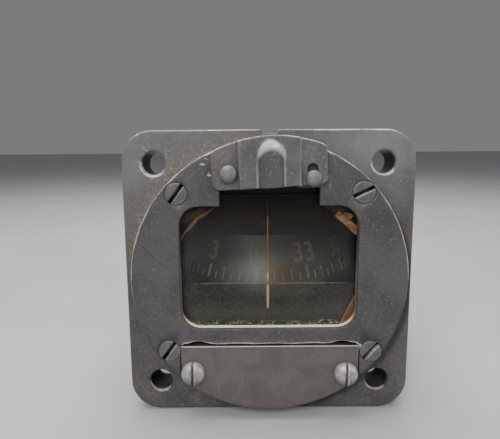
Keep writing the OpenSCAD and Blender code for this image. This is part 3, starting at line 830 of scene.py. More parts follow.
@dataclass(frozen=True)
class FlangePaint(WornPaint):
    """Paint of the case: pale painted light above, crumbs of dirt and a painted shadow beside the bezel,
    bright lips at the holes.

    Args:
        painted_top_light: pale colour of the light painted over the upper flange.
        brown: colour of its stains.
        shadow: colour of the dark crumbs of dirt close to the bezel and of the bezel's painted shadow.
    """

    grime: Colour = (0.37, 0.305, 0.22)
    painted_top_light: Colour = (0.26, 0.255, 0.255)
    brown: Colour = (0.105, 0.075, 0.062)
    shadow: Colour = (0.03, 0.026, 0.022)

    def wear_and_highlight(self, g: Graph) -> Number:
        """Brighter edges along the top edge and on the lower lips of the holes, stronger towards the upper
        left, less in the notch: worn metal, lit as a painted highlight where light from above falls.
        """
        across, rise = g.off_hole()
        at_hole = g.step(g.radius(across, rise), 4.6, 4.0)
        lip = 1.0 + g.step(g.slant(-0.5, 1.0), -10.0, 35.0) * 0.8
        below = 0.3 + g.step(rise + across * 0.35, 0.1, -1.7) * lip
        notch = g.step(abs(g.x), 2.1, 1.7) * 0.75
        top = 0.4 + g.step(g.z, 26.0, 29.2) * (0.75 - notch)
        return g.blend(at_hole, top, below)

    def marks(self, g: Graph) -> tuple[Number, Number]:
        """Scraped ring at the upper left hole, chips at the left and crumbs along the bezel."""
        rim = g.off_circle((0.0, 0.0), 28.2)
        side = g.step(g.x, 12.0, -12.0) * g.step(g.z, -12.0, 8.0)
        near = g.step(rim, 5.5, -0.5) * g.step(rim, -0.6, -0.2) * side * g.front()
        crumbs = g.step(g.noise(0.45, 4, 0.8, seed=5.0) + near * 0.2, 0.68, 0.76)
        dirt = g.most(near * near * 0.2, crumbs * near)
        hole = abs(g.off_circle((-HOLE_AT, HOLE_AT), 3.1))
        sector = g.clouds(0.44, 0.56, 2.6, 2, 0.5, seed=38.0)
        ring = g.step(hole, 1.7, 0.2) * sector * g.clouds(0.55, 0.62, 0.5, 4, 0.8, seed=8.0)
        chips = g.clouds(0.68, 0.73, 0.9, 3, 0.75, seed=31.0) * g.step(g.x, -20.0, -28.0)
        low = g.step(g.z, -16.0, -29.0) * g.clouds(0.5, 0.66, 1.8, 4, 0.7, seed=9.0)
        return g.most(ring * 0.75, chips * 0.4) * g.front(), g.most(dirt, low * 0.12)

    def own_tone(self, g: Graph, colour: Value) -> Value:
        """Brown stains, pale painted light over the upper flange and its top right corner, dark crumbs of
        dirt, the bezel's painted shadow at the lower right, and painted shade in the bores and on the face
        hidden under the bezel.
        """
        stains = g.clouds(0.48, 0.7, 3.0, 4, 0.75, seed=52.0) * g.front()
        colour = g.mix(stains * 0.5, colour, self.brown)
        # Pale painted light over the upper flange, as from the light above, weaker on the right strip.
        broad, fine = g.noise(5.0, 3, 0.6, seed=23.0), g.noise(1.1, 4, 0.7, seed=33.0)
        pale = broad * 0.3 + fine * 0.5 - g.step(g.x, 26.0, 29.0) * 0.2
        painted_top_light = g.step(g.slant(-0.15, 1.0), 0.0, 26.0) * pale * g.step(g.y, 1.4, 0.4)
        colour = g.mix(painted_top_light, colour, self.painted_top_light)
        # Top right corner lightened: painted light.
        corner = g.step(g.x, 8.0, 24.0) * g.step(g.z, 18.0, 26.0)
        colour = g.mix(corner * 0.12, colour, (0.5, 0.5, 0.5))
        # Dark crumbs of dirt beside the bezel, and the bezel's cast shadow painted onto the flange at the
        # lower right.
        side = g.step(g.x, 12.0, -12.0) * g.step(g.z, -14.0, 4.0)
        near = g.step(g.off_circle((0.0, 0.0), 28.2), 4.5, 0.0) * side
        crumbs = near * g.clouds(0.5, 0.6, 0.6, 4, 0.8, seed=45.0)
        shade = g.step(g.off_circle((2.0, -2.2), 28.2), 0.9, -0.3)
        dark = g.most(crumbs * 0.55, shade * 0.85) * g.front()
        colour = g.mix(dark, colour, self.shadow)
        # Painted shade inside the bores, lighter on their lower walls, and near black on the face hidden
        # under the bezel.
        across, rise = g.off_hole()
        bore = g.step(g.radius(across, rise), 2.95, 2.75) * g.step(g.y, 0.5, 1.5)
        bore = bore * (1.0 - g.step(rise, -0.9, -2.0) * 0.6) * 0.85
        under = g.step(g.radius(g.x, g.z), 27.6, 27.0) * g.front()
        return g.mix(g.most(under, bore), colour, (0.005, 0.005, 0.005))


@dataclass(frozen=True)
class BezelPaint(WornPaint):
    """Paint of the bezel, with its light and dark scratches and a few flecks of yellow paint.

    Args:
        light: light scratches.
        dark: dark scratches.
        smears: strokes of yellow paint.
        flecks: middle, half width and half height of each yellow fleck.
        yellow: colour of that paint.
    """

    paint: Colour = (0.088, 0.083, 0.085)
    shade: Colour = (0.058, 0.054, 0.055)
    light: tuple[Stroke, ...] = (
        ((-16.4, 20.2), (-13.2, 22.6), 0.13), ((-13.6, 21.8), (-12.2, 20.6), 0.13),
        ((-12.6, 17.9), (-11.2, 16.4), 0.13), ((12.2, 25.2), (13.1, 22.4), 0.14),
        ((11.6, 21.8), (11.9, 18.2), 0.12),
    )
    dark: tuple[Stroke, ...] = (
        ((-25.6, 7.2), (-22.6, 4.1), 0.2), ((-22.6, 4.1), (-19.0, 1.4), 0.2),
        ((-22.0, -5.0), (-18.6, -7.8), 0.18), ((-24.4, 12.0), (-23.6, 9.0), 0.14),
    )
    smears: tuple[Stroke, ...] = (((-12.2, 21.0), (-11.7, 21.9), 0.2), ((-12.9, 24.6), (-11.6, 23.9), 0.14))
    flecks: tuple[tuple[Point, float, float], ...] = (
        ((-13.05, 23.25), 0.5, 0.22), ((-11.85, 21.15), 0.42, 0.2),
    )
    yellow: Colour = (0.62, 0.52, 0.30)

    def wear_and_highlight(self, g: Graph) -> Number:
        """Bright upper rim, worn metal lit as a painted highlight where light from above falls, a little wear
        round the window and more along the recess.
        """
        rim = g.step(g.radius(g.x, g.z), 26.4, 27.0)
        upper = g.step(g.slant(-0.1, 1.0), -11.0, 2.0)
        recess = g.step(g.z, -12.4, -13.2) * g.step(g.z, -15.2, -14.3)
        window = 0.14 + g.step(g.z, 14.4, 13.0) * 0.34 + recess * 1.4
        return g.blend(rim, window, 0.2 + upper * 0.95)

    def marks(self, g: Graph) -> tuple[Number, Number]:
        """Light scratches, the rubbed lip of the recess and dirt round the window."""
        drawn = g.strokes(*self.light) * g.clouds(0.4, 0.56, 0.6, 3, 0.7, seed=4.0)
        lip = g.step(g.z, -12.3, -13.3) * g.step(abs(g.x), 18.5, 18.2)
        lip = lip * g.clouds(0.5, 0.6, 0.5, 3, 0.8, seed=14.0)
        window = g.step(g.off_box((-0.15, 2.4), (17.95, 12.6), 4.0), 1.6, 0.0)
        dirt = window * g.clouds(0.46, 0.66, 1.6, 4, 0.7, seed=6.0)
        return g.most(drawn * 0.35, lip * 0.22), dirt * 0.35

    def own_tone(self, g: Graph, colour: Value) -> Value:
        """Dark scratches, the lower rim's shade and the yellow flecks."""
        colour = g.mix(g.strokes(*self.dark) * 0.65, colour, (0.018, 0.017, 0.016))
        shadow = g.step(g.radius(g.x, g.z), 27.3, 27.9) * g.step(g.slant(-0.1, 1.0), -5.0, -11.0)
        colour = g.mix(shadow * 0.6, colour, (0.02, 0.019, 0.018))
        flecks = g.most(g.strokes(*self.smears), *(g.fleck_and_glint(*spot) for spot in self.flecks))
        return g.mix(flecks * 0.85, colour, self.yellow)


@dataclass(frozen=True)
class CoverPaint(WornPaint):
    """Paint of the lamp cover, rubbed along its ridges with painted highlights there too, and a painted
    highlight on its dome.

    Args:
        dome: X of the dome's middle and Z at which its round top begins.
        ridge: distance of the block's edges from its middle.
        dome_highlight: colour of the highlight painted on the dome's top.
    """

    paint: Colour = (0.136, 0.130, 0.130)
    shade: Colour = (0.090, 0.086, 0.086)
    dome: Point = (0.2, 24.95)
    ridge: float = 5.85
    dome_highlight: Colour = (0.56, 0.56, 0.62)

    def off_axis(self, g: Graph) -> Value:
        """Distance from the middle line of the dome."""
        return g.radius(g.x - self.dome[0], g.most(g.z - self.dome[1], 0.0))

    def wear_and_highlight(self, g: Graph) -> Number:
        """Less edge brightening along the lower edge and more along the top: wear, and a painted highlight
        where light from above falls on the top.
        """
        low = g.step(g.z, 20.0, 19.2) * 0.3
        return 0.55 - low + g.step(g.z, 24.0, 26.5) * 0.4

    def marks(self, g: Graph) -> tuple[Number, Number]:
        """Light lines along the dome's flanks and the block's edges, stronger on the right: rubbed paint and
        painted highlight.
        """
        # Rubbed paint and painted highlights along the ridges.
        flank = g.step(abs(self.off_axis(g) - 2.62), 0.36, 0.08)
        side = g.step(abs(abs(g.x) - self.ridge), 0.4, 0.1)
        streak = g.clouds(0.34, 0.6, 2.0, 3, 0.6, seed=2.0, stretch=(1, 1, 0.3))
        side = side * (0.3 + g.step(g.x, -1.0, 1.0) * 0.75)
        dirt = g.clouds(0.5, 0.7, 2.4, 4, 0.7, seed=12.0)
        return g.most(flank, side) * streak * 0.42, dirt * 0.25

    def own_tone(self, g: Graph, colour: Value) -> Value:
        """Painted shade on the lower dome, a painted highlight over its top and one white painted glint on
        it.
        """
        on_dome = g.step(self.off_axis(g), 2.75, 2.3) * g.step(g.y, -5.6, -6.2)
        aside = g.x - self.dome[0]
        highlight_arch = g.step(g.z + aside * aside * 0.26, 25.3, 26.6)
        # Painted shade below, painted highlight and a white painted glint above.
        under = on_dome * g.step(g.z, 25.6, 24.4) * 0.35
        colour = g.mix(under, colour, (0.06, 0.058, 0.06))
        colour = g.mix(on_dome * highlight_arch * 0.9, colour, self.dome_highlight)
        return g.mix(g.fleck_and_glint((1.05, 26.5), 0.75, 0.42) * on_dome * 0.7, colour, (0.95, 0.95, 1.0))


@dataclass(frozen=True)
class Heads:
    """Slots, painted highlights and painted shading of the heads on the front.

    Args:
        slots: X, Z and turn in degrees of each slot.
        reach: half the length of a slot.
        half: half the width of a slot.
        floor: depth below which a slot is coloured darker.
        dirt: colour of the slot below that depth.
        lit: colour of the highlight painted along the slot's lower edge, where it catches the light.
        middle: height of the left and the right heads' middle, below which painted shade darkens them and
            above which a painted highlight lightens them.
        round_shade: strength of that painted shading.
    """

    slots: tuple[Place, ...] = ()
    reach: float = 0.0
    half: float = 0.0
    floor: float = 0.0
    dirt: Colour = (0.0, 0.0, 0.0)
    lit: Colour = (0.0, 0.0, 0.0)
    middle: Point = (0.0, 0.0)
    round_shade: float = 0.0

    def tone(self, g: Graph, colour: Value) -> Value:
        """Adds the darker slot floors, the painted highlights along the slots and the painted shading to a
        metal's colour.

        Args:
            g: the material's graph.
            colour: colour of the metal.

        Returns:
            The changed colour.
        """
        front = g.step(g.y, 1.5, 0.5)
        if self.round_shade:
            # Painted shade on the lower part of the head and a painted highlight on its top.
            rise = g.z - g.blend(g.step(g.x, -1.0, 1.0), *self.middle)
            low = g.step(rise, 0.3, -1.9) * front * self.round_shade
            high = g.step(rise, 0.9, 1.9) * front * (self.round_shade * 0.45)
            colour = g.mix(low, colour, (0.05, 0.047, 0.045))
            colour = g.mix(high, colour, (0.8, 0.78, 0.7))
        for x, z, turn in self.slots:
            dx, dz = math.cos(math.radians(turn)), math.sin(math.radians(turn))
            ends = [(x + way * dx * self.reach, z + way * dz * self.reach) for way in (-1, 1)]
            off = self.half + 0.05
            beside = [(px + dz * off, pz - dx * off) for px, pz in ends]
            # Each slot: a painted highlight along its lower edge and a darker floor below the floor depth.
            deep = g.step(g.y, self.floor, self.floor + 0.25)
            inside = g.strokes((*ends, self.half * 2.6)) * deep * front
            edge = g.strokes((*beside, 0.26)) * g.clouds(0.34, 0.5, 0.5, 3, 0.7, seed=4.0) * front * 0.7
            colour = g.mix(edge, colour, self.lit)
            colour = g.mix(inside, colour, self.dirt)
        return colour


@dataclass(frozen=True)
class Metal:
    """Metal with fine scratches, tarnish and a little grain.

    Args:
        name: name of the material.
        colour: colour where it is clean.
        tarnish: colour where it is dull.
        rough: mean roughness.
        metallic: how metallic it looks.
        scratched: strength of the fine scratches.
        size: size of the tarnish clouds in millimetres.
        rim: colour of its worn edges.
        brushed: direction of the fine scratches in degrees.
        heads: heads of this metal that carry their own darker slot floors, painted highlights and painted
            shading.
    """

    name: str
    colour: Colour
    tarnish: Colour
    rough: float = 0.4
    metallic: float = 0.8
    scratched: float = 0.4
    size: float = 2.5
    rim: Colour | None = None
    brushed: float = 24.0
    heads: Heads | None = None

    def edged(self, g: Graph, colour: Value, grain: Value) -> Value:
        """Adds the worn edges to the metal's colour.

        Args:
            g: the material's graph.
            colour: colour of the metal.
            grain: fine noise that breaks the edges up.

        Returns:
            The changed colour.
        """
        if not self.rim:
            worn = g.worn() * g.step(grain, 0.35, 0.6) * 0.5
            return g.mix(worn, colour, scaled(self.colour, 1.6))
        rusty = g.mix(g.step(g.z, -20.0, -23.5), self.rim, (0.13, 0.062, 0.048))
        worn = g.worn() + (g.noise(1.0, 3, 0.6, seed=4.0) - 0.5) * 0.25
        return g.mix(g.step(worn, 0.5, 0.8), colour, rusty)

    def build(self) -> Material:
        """Makes the material."""
        g = Graph(self.name)
        cloud = g.noise(self.size, 4, 0.65, bend=0.5)
        grain = g.noise(0.3, 3, 0.65, seed=3.0)
        long = (0.12, 1.0, 3.5)
        along = g.clouds(0.56, 0.66, 1.1, 3, 0.7, seed=6.0, turn=self.brushed, stretch=long)
        across = g.clouds(0.6, 0.7, 1.3, 3, 0.7, seed=16.0, turn=self.brushed - 85.0, stretch=long)
        scratch = g.most(along, across * 0.5)
        colour = g.mix(g.step(cloud, 0.36, 0.66), self.tarnish, self.colour)
        colour = g.mix(scratch * self.scratched, colour, scaled(self.colour, 1.6))
        colour = self.edged(g, colour, grain)
        if self.heads:
            colour = self.heads.tone(g, colour)
        g.shade(Base_Color=colour, Metallic=self.metallic)
        g.shade(Roughness=self.rough + (cloud - 0.5) * 0.3)
        g.shade(Normal=g.bump(grain * 0.6 + scratch * -0.5, 0.02))
        return g.material


@dataclass(frozen=True)
class Matter:
    """Plain non-metal such as rubber, plastic, printed card or paint.

    Args:
        name: name of the material.
        colour: main colour.
        second: colour of its stains or worn places.
        rough: mean roughness.
        size: size of the stains in millimetres.
        low: noise value at which the stains begin.
        relief: depth of its surface grain in millimetres.
        painted_glow: strength of light painted onto it as emission, to brighten the faded luminous marks and
            the lubber wire.
        faded: how far its middle, around X = 0, has gone over to the second colour.
    """

    name: str
    colour: Colour
    second: Colour
    rough: float = 0.55
    size: float = 1.5
    low: float = 0.42
    relief: float = 0.02
    painted_glow: float = 0.0
    faded: float = 0.0

    def build(self) -> Material:
        """Makes the material."""
        g = Graph(self.name)
        grain = g.noise(self.size * 0.2, 3, 0.6, seed=5.0)
        stained = g.clouds(self.low, self.low + 0.22, self.size, 4, 0.65, bend=0.3)
        if self.faded:
            stained = g.most(stained, g.step(abs(g.x), 10.5, 6.5) * self.faded)
        colour = g.mix(stained, self.colour, self.second)
        g.shade(Base_Color=colour, Roughness=self.rough + (grain - 0.5) * 0.3)
        g.shade(Normal=g.bump(grain, self.relief), Specular_IOR_Level=0.4)
        # Emission here is painted light: these parts are no lamps.
        if self.painted_glow:
            g.shade(Emission_Color=colour, Emission_Strength=self.painted_glow)
        return g.material


@dataclass(frozen=True)
class Reveal:
    """Inner faces of the bezel's openings: bare metal along the sill, brightened as painted highlight with
    faint painted emission, and painted shade that darkens them higher up.

    Args:
        name: name of the material.
        sill: colour of the bare sill, brightened as painted highlight.
        cream: colour of that highlit sill towards its corners.
        inner: colour of that highlit sill close to the glass.
        side: colour of the upright faces.
        upper: colour of their upper part, darkened as painted shade.
        top: near-black painted shade on the faces that look down.
        stain: colour of the stains.
    """

    name: str
    sill: Colour = (1.0, 0.96, 0.92)
    cream: Colour = (0.92, 0.74, 0.46)
    inner: Colour = (0.97, 0.86, 0.56)
    side: Colour = (0.20, 0.185, 0.15)
    upper: Colour = (0.06, 0.055, 0.045)
    top: Colour = (0.006, 0.006, 0.006)
    stain: Colour = (0.1, 0.08, 0.06)

    def build(self) -> Material:
        """Makes the material."""
        g = Graph(self.name)
        ragged = g.noise(0.9, 4, 0.7, seed=2.0)
        corner = g.step(abs(g.x) + (ragged - 0.5) * 4.0, 12.0, 16.0)
        sill = g.mix(corner, self.sill, self.cream)
        sill = g.mix(g.step(g.y, -2.8, -2.4) * 0.5, sill, self.inner)
        # The upright faces darken upwards and go near black at the top: painted shade.
        upright = g.mix(g.step(g.z, -1.0, 9.0), self.side, self.upper)
        upright = g.mix(g.step(g.z, 11.0, 13.0), upright, self.top)
        colour = g.mix(g.step(g.z, -7.0, -9.6), upright, sill)
        g.shade(Base_Color=g.mix(g.step(ragged, 0.58, 0.72) * 0.3, colour, self.stain))
        g.shade(Roughness=0.42, Normal=g.bump(ragged, 0.05))
        # Faint emission on the sill: painted light.
        g.shade(Emission_Color=sill, Emission_Strength=g.step(g.z, -8.0, -10.0) * 0.16)
        return g.material


# The lower right corner of the gasket lies bare past this line: slant of the line, and its place along it
TORN = (0.9, -0.435)
TORN_AT = 18.4


@dataclass(frozen=True)
class Seal:
    """Shrunken amber seal: near black nearly everywhere, orange where it is torn or dry.

    Args:
        name: name of the material.
        amber: colour of its dry parts.
        burnt: colour of its darker parts.
        pale: colour where it is driest.
        oily: near-black colour that covers it nearly everywhere.
        dark: dark strokes.
        edges: strokes along its amber inner edge.
        dry: strokes where it is driest.
    """

    name: str
    amber: Colour = (0.42, 0.20, 0.085)
    burnt: Colour = (0.13, 0.058, 0.026)
    pale: Colour = (0.68, 0.42, 0.25)
    oily: Colour = (0.010, 0.009, 0.008)
    dark: tuple[Stroke, ...] = (((-18.8, 11.6), (-12.6, 13.9), 2.6), ((9.6, 15.0), (16.0, 13.2), 2.4))
    edges: tuple[Stroke, ...] = (
        ((-18.9, 7.2), (-14.4, 12.7), 0.95), ((-15.4, 11.8), (-9.8, 15.0), 0.8),
        ((18.9, -3.2), (15.2, -10.6), 2.4), ((-18.6, -5.6), (-16.6, -9.4), 1.2),
    )
    dry: tuple[Stroke, ...] = (((13.9, 13.0), (19.0, 8.8), 2.3), ((15.4, 12.9), (17.6, 12.2), 1.4))

    def build(self) -> Material:
        """Makes the material."""
        g = Graph(self.name)
        cloud = g.noise(1.3, 4, 0.65, bend=0.6, seed=2.0)
        burnt, line, patch = g.strokes(*self.dark), g.strokes(*self.edges), g.strokes(*self.dry)
        colour = g.mix(burnt * g.step(cloud, 0.36, 0.5), self.oily, self.burnt)
        colour = g.mix(line * g.step(cloud, 0.24, 0.44), colour, self.amber)
        dry = g.mix(g.step(cloud, 0.44, 0.58), self.amber, self.pale)
        colour = g.mix(g.step(patch, 0.25, 0.5), colour, dry)
        torn, lower = g.slant(*TORN), g.step(g.z, 0.0, -2.0)
        colour = g.mix(g.step(torn, TORN_AT - 0.2, TORN_AT) * lower, colour, self.amber)
        border = g.step(abs(torn - (TORN_AT + 0.05)), 0.2, 0.08)
        colour = g.mix(border * lower, colour, self.pale)
        g.shade(Base_Color=colour, Roughness=0.7)
        g.shade(Specular_IOR_Level=g.most(burnt, line, patch) * 0.35)
        g.shade(Normal=g.bump(g.noise(0.5, 4, 0.65, seed=3.0), 0.12))
        return g.material


@dataclass(frozen=True)
class Glass:
    """Old window glass: a reflection of the room painted in its middle, a thin haze, oily below the fluid
    line, dusty along its lower edge.

    Args:
        name: name of the material.
        haze: strength of the cloudy film.
        dust: colour of the dust.
        brown: colour of the browner part of that painted reflection, on the right, and of the film at the
            top.
        reflection_grey: colour of the painted reflection in the middle.
        oil: darkest and lightest colour of the oily film.
    """

    name: str
    haze: float = 0.035
    dust: Colour = (0.5, 0.47, 0.42)
    brown: Colour = (0.38, 0.27, 0.18)
    reflection_grey: Colour = (0.46, 0.48, 0.49)
    oil: tuple[Colour, Colour] = ((0.020, 0.021, 0.016), (0.062, 0.059, 0.048))

    def film(self, g: Graph) -> tuple[Value, Value]:
        """Haze on the glass, and a reflection of the room painted in its middle, browner on the right.

        Args:
            g: the material's graph.

        Returns:
            How much it covers, and its colour.
        """
        # Painted reflection of the room: a bright middle spot, a wider ring round it and a browner patch on
        # the right.
        reflection_core = g.step(g.off_circle((-2.2, 1.2), 0.0), 5.0, 0.2) * 0.085
        reflection_halo = g.step(g.off_circle((-3.6, 0.6), 0.0, 0.6), 6.2, 0.5) * 0.075
        stain = g.step(g.off_circle((2.8, 0.4), 0.0, 0.7), 6.4, 1.0) * 0.065
        smoke = g.step(g.z, 9.0, 13.5) * 0.018
        cloudy = g.clouds(0.36, 0.72, 7.0, 4, 0.6, bend=0.8) * g.step(g.z, 11.5, 5.5) * self.haze
        stained = g.most(g.step(stain, 0.02, 0.07), g.step(smoke, 0.0, 0.012))
        tint = g.mix(g.step(reflection_core, 0.02, 0.09), g.mix(stained, self.dust, self.brown), self.reflection_grey)
        return reflection_core + reflection_halo + stain + cloudy + smoke, tint

    def oiled(self, g: Graph) -> tuple[Value, Value]:
        """Oily film on the back of the glass, below the fluid line and off the wire and the torn seal.

        Args:
            g: the material's graph.

        Returns:
            How much it covers, and its colour.
        """
        level = g.z + (g.noise(2.2, 3, 0.6, seed=27.0) - 0.5) * 0.5
        wire = g.step(abs(g.x + 0.23), 0.36, 0.3) * g.step(g.z, -7.9, -7.6)
        below = g.step(level, -1.75, -2.15) * g.step(g.y, -0.5, -0.3) * (0.9 - wire * 0.9)
        cover = below * (1.0 - g.step(g.slant(*TORN), TORN_AT - 0.15, TORN_AT))
        mottled = g.clouds(0.4, 0.6, 0.5, 4, 0.7, seed=19.0)
        mottled = g.most(mottled, g.clouds(0.5, 0.7, 2.6, 4, 0.7, seed=71.0))
        sides = g.most(g.step(g.x, 2.0, 14.0), g.step(g.x, -12.0, -18.0))
        dusty = g.step(g.z, -4.5, -9.0) * 0.11 + sides * 0.045
        return cover, g.mix(dusty, g.mix(mottled, *self.oil), self.dust)

    def dusted(self, g: Graph) -> tuple[Value, Value]:
        """Dust on the front of the glass: crumbs along its lower edge, and specks all over."""
        edge = abs(g.z + 10.4) + (g.noise(2.0, 3, 0.6, seed=12.0) - 0.5) * 1.4
        right = 0.55 + g.step(g.x, -2.0, 9.0) * 0.45
        crumbs = g.step(g.cells(0.42, 9.0), 0.62, 0.34) * g.step(g.y, -0.5, -0.9)
        low = g.step(edge, 1.9, 0.2) * crumbs * g.clouds(0.4, 0.56, 0.9, 3, 0.7, seed=3.0) * right
        speck = g.step(g.cells(0.9, 6.0), 0.1, 0.04) * g.clouds(0.46, 0.6, 3.0, 2, seed=8.0)
        return low, speck

    def build(self) -> Material:
        """Makes the material: clear and faintly shining glass, covered by what lies on it and by the painted
        reflection.
        """
        g = Graph(self.name)
        # The film holds the painted reflection as well as the haze.
        haze, tint = self.film(g)
        oily, oil = self.oiled(g)
        low, speck = self.dusted(g)
        cover = g.most(haze + oily * (1.0 - haze), low * 0.75, speck * 0.35)
        tint = g.mix(g.step(oily, 0.0, 0.5), tint, oil)
        g.shade(Base_Color=g.mix(g.most(low, speck), tint, self.dust), Roughness=0.6, Specular_IOR_Level=0.12)
        clear = g.node("ShaderNodeBsdfTransparent", (0.93, 0.95, 0.92)).outputs[0]
        shine = g.node("ShaderNodeBsdfGlossy", Roughness=0.08).outputs[0]
        facing = g.node("ShaderNodeFresnel", IOR=1.35).outputs[0]
        bare = g.node("ShaderNodeMixShader", facing, clear, shine).outputs[0]
        surface = g.node("ShaderNodeMixShader", cover, bare, g.shader.outputs[0]).outputs[0]
        g.put(next(n for n in g.tree.nodes if n.type == "OUTPUT_MATERIAL").inputs["Surface"], surface)
        return g.material


@dataclass
class Case:
    """Cast case with its square flange, bowl, lamp pocket and compensator chamber."""

    corner: float = 6.35
    flange_t: float = 7.6
    hole_r: float = 2.38
    case_r: float = 28.0
    case_end: float = 50.0
    bowl_r: float = 25.05
    recess_t: float = 1.5
    opening_z: Point = (-11.0, 15.8)
    bowl: tuple[tuple[float, float, float, float], ...] = ((3.0, 22.5, -12.9, 16.5), (8.0, 25.0, -13.0, 16.6))
    full_from: float = 16.0
    pocket: tuple[Point, ...] = ((3.2, 20.5), (3.2, 26.75), (-3.2, 26.75), (-3.2, 20.5))
    pocket_t: float = 14.0
    chamber_t: float = 14.4
    bosses: tuple[Point, ...] = ((11.2, 3.2), (36.0, 4.2))
    boss_high: float = 28.9
    root: float = 0.8

    def outline(self) -> list[Point]:
        """Square flange with round corners and the small notch in its top edge."""
        top, low = FLANGE_HALF, FLANGE_HALF - 0.8
        points = rounded_box((-top, -top), (top, top), self.corner, 10)
        notch = [(2.1, top), (1.9, top - 0.25), (1.75, low), (-1.2, low), (-1.4, top - 0.25), (-1.6, top)]
        return points[:22] + notch + points[22:]

    def chamber(self) -> list[Point]:
        """Outline of the chamber behind the compensator."""
        low, side, top, limit = -24.7, 13.2, -14.3, 26.6
        start = math.degrees(math.atan2(-math.sqrt(limit**2 - side**2), side))
        end = math.degrees(math.atan2(low, math.sqrt(limit**2 - low**2)))
        right = arc((0, 0), limit, end, start, 5)
        left = [(-x, z) for x, z in reversed(right)]
        return right + [(side, top), (-side, top)] + left

    def flange(self, skin: Skin) -> tuple[list[Ring], list[Ring]]:
        """Adds the flange's edge and its mounting holes.

        Args:
            skin: the case's mesh.

        Returns:
            The loops that bound its front face, and those that bound its back.
        """
        outline, half = self.outline(), self.flange_t / 2
        in_notch = [abs(x) < 2.2 and z > 0 for x, z in outline]
        share = [0.2 if n else 0.5 for n in in_notch]
        reach = [0.1 if n else 0.5 for n in in_notch]
        first, middle = skin.rounded(outline, 0.0, half, share, Edge.OUTER, reach=reach)
        last, behind = skin.rounded(outline, self.flange_t, half, share, Edge.OUTER, worn=0.8, reach=reach)
        skin.wall(middle, behind)
        fronts, backs = [first], [last]
        for spot in [(x * HOLE_AT, z * HOLE_AT) for x in (-1, 1) for z in (-1, 1)]:
            ring = circle(spot, self.hole_r, 40)
            first, middle = skin.rounded(ring, 0.0, half, 0.5, Edge.HOLE, worn=0.95)
            last, behind = skin.rounded(ring, self.flange_t, half, 0.3, Edge.HOLE, worn=0.6)
            skin.wall(middle, behind)
            fronts.append(first)
            backs.append(last)
        return fronts, backs

    def hollows(self, skin: Skin) -> tuple[list[Ring], Ring]:
        """Adds the glass recess, the bowl, the lamp pocket and the compensator's chamber.

        Args:
            skin: the case's mesh.

        Returns:
            The loops where they open to the front, and the bowl's loop at the rear.
        """
        recess, narrow = chorded(GLASS_R, *GLASS_Z), chorded(OPENING_R, *self.opening_z)
        mouth, land = skin.band(recess, 0.0, self.recess_t)
        previous = skin.loop(narrow, self.recess_t)
        skin.face(land, previous)
        for start, radius, low, high in self.bowl:
            end = skin.loop(narrow, start)
            skin.wall(previous, end)
            narrow = chorded(radius, low, high)
            previous = skin.loop(narrow, start)
            skin.face(previous, end)
        deep = skin.loop(narrow, self.full_from)
        skin.wall(previous, deep)
        full, rear = skin.band(circle((0, 0), self.bowl_r, 96), self.full_from, self.case_end)
        skin.face(full, deep)
        mouths = [mouth]
        for outline, depth in ((self.pocket, self.pocket_t), (self.chamber(), self.chamber_t)):
            opened, end = skin.band(outline, 0.0, depth)
            skin.face(end)
            mouths.append(opened)
        return mouths, rear

    def barrel(self, skin: Skin) -> tuple[Ring, Ring]:
        """Adds the round outside behind the flange, with its soft root.

        Args:
            skin: the case's mesh.

        Returns:
            The loop at its rear, and the one where it meets the flange.
        """
        outside = circle((0, 0), self.case_r, 96)
        rear, previous = skin.rounded(outside, self.case_end, 12.0, 0.4, Edge.OUTER, worn=0.7)
        for k in range(6):
            turn = math.pi / 2 * k / 5
            radius = self.case_r + self.root * (1 - math.cos(turn))
            ring = skin.loop(circle((0, 0), radius, 96), self.flange_t + self.root * (1 - math.sin(turn)))
            skin.wall(previous, ring)
            previous = ring
        return rear, previous

    def boss(self, depth: float, radius: float, paint: Material) -> Object:
        """Round boss on top of the case, with a soft upper edge.

        Args:
            depth: distance of its axis behind the flange's face.
            radius: its radius.
            paint: its paint.

        Returns:
            The tool object, to be joined to the case.
        """
        skin = Skin()
        for ring in skin.rounded(circle((0, 0), radius, 40), 0.0, 1.9, 0.4, Edge.OUTER):
            skin.face(ring)
        for vert in skin.mesh.verts:
            x, y, z = vert.co
            vert.co = (x, depth * MM + z, self.boss_high * MM - y)
        return skin.finish("boss", [paint])

    def build(self, paint: Material, inside: Material) -> Object:
        """Makes the case's mesh.

        Args:
            paint: finish of its outside.
            inside: finish of its inside.

        Returns:
            The piece.
        """
        skin = Skin()
        fronts, backs = self.flange(skin)
        skin.slot = 1
        mouths, rear_in = self.hollows(skin)
        skin.slot = 0
        skin.face(*fronts, *mouths)
        rear_out, root = self.barrel(skin)
        skin.face(*backs, root)
        skin.face(rear_out, rear_in)
        piece = skin.finish("case_shell", [paint, inside])
        for depth, radius in self.bosses:
            joined(piece, self.boss(depth, radius, paint), Cut.ONTO)
        return piece


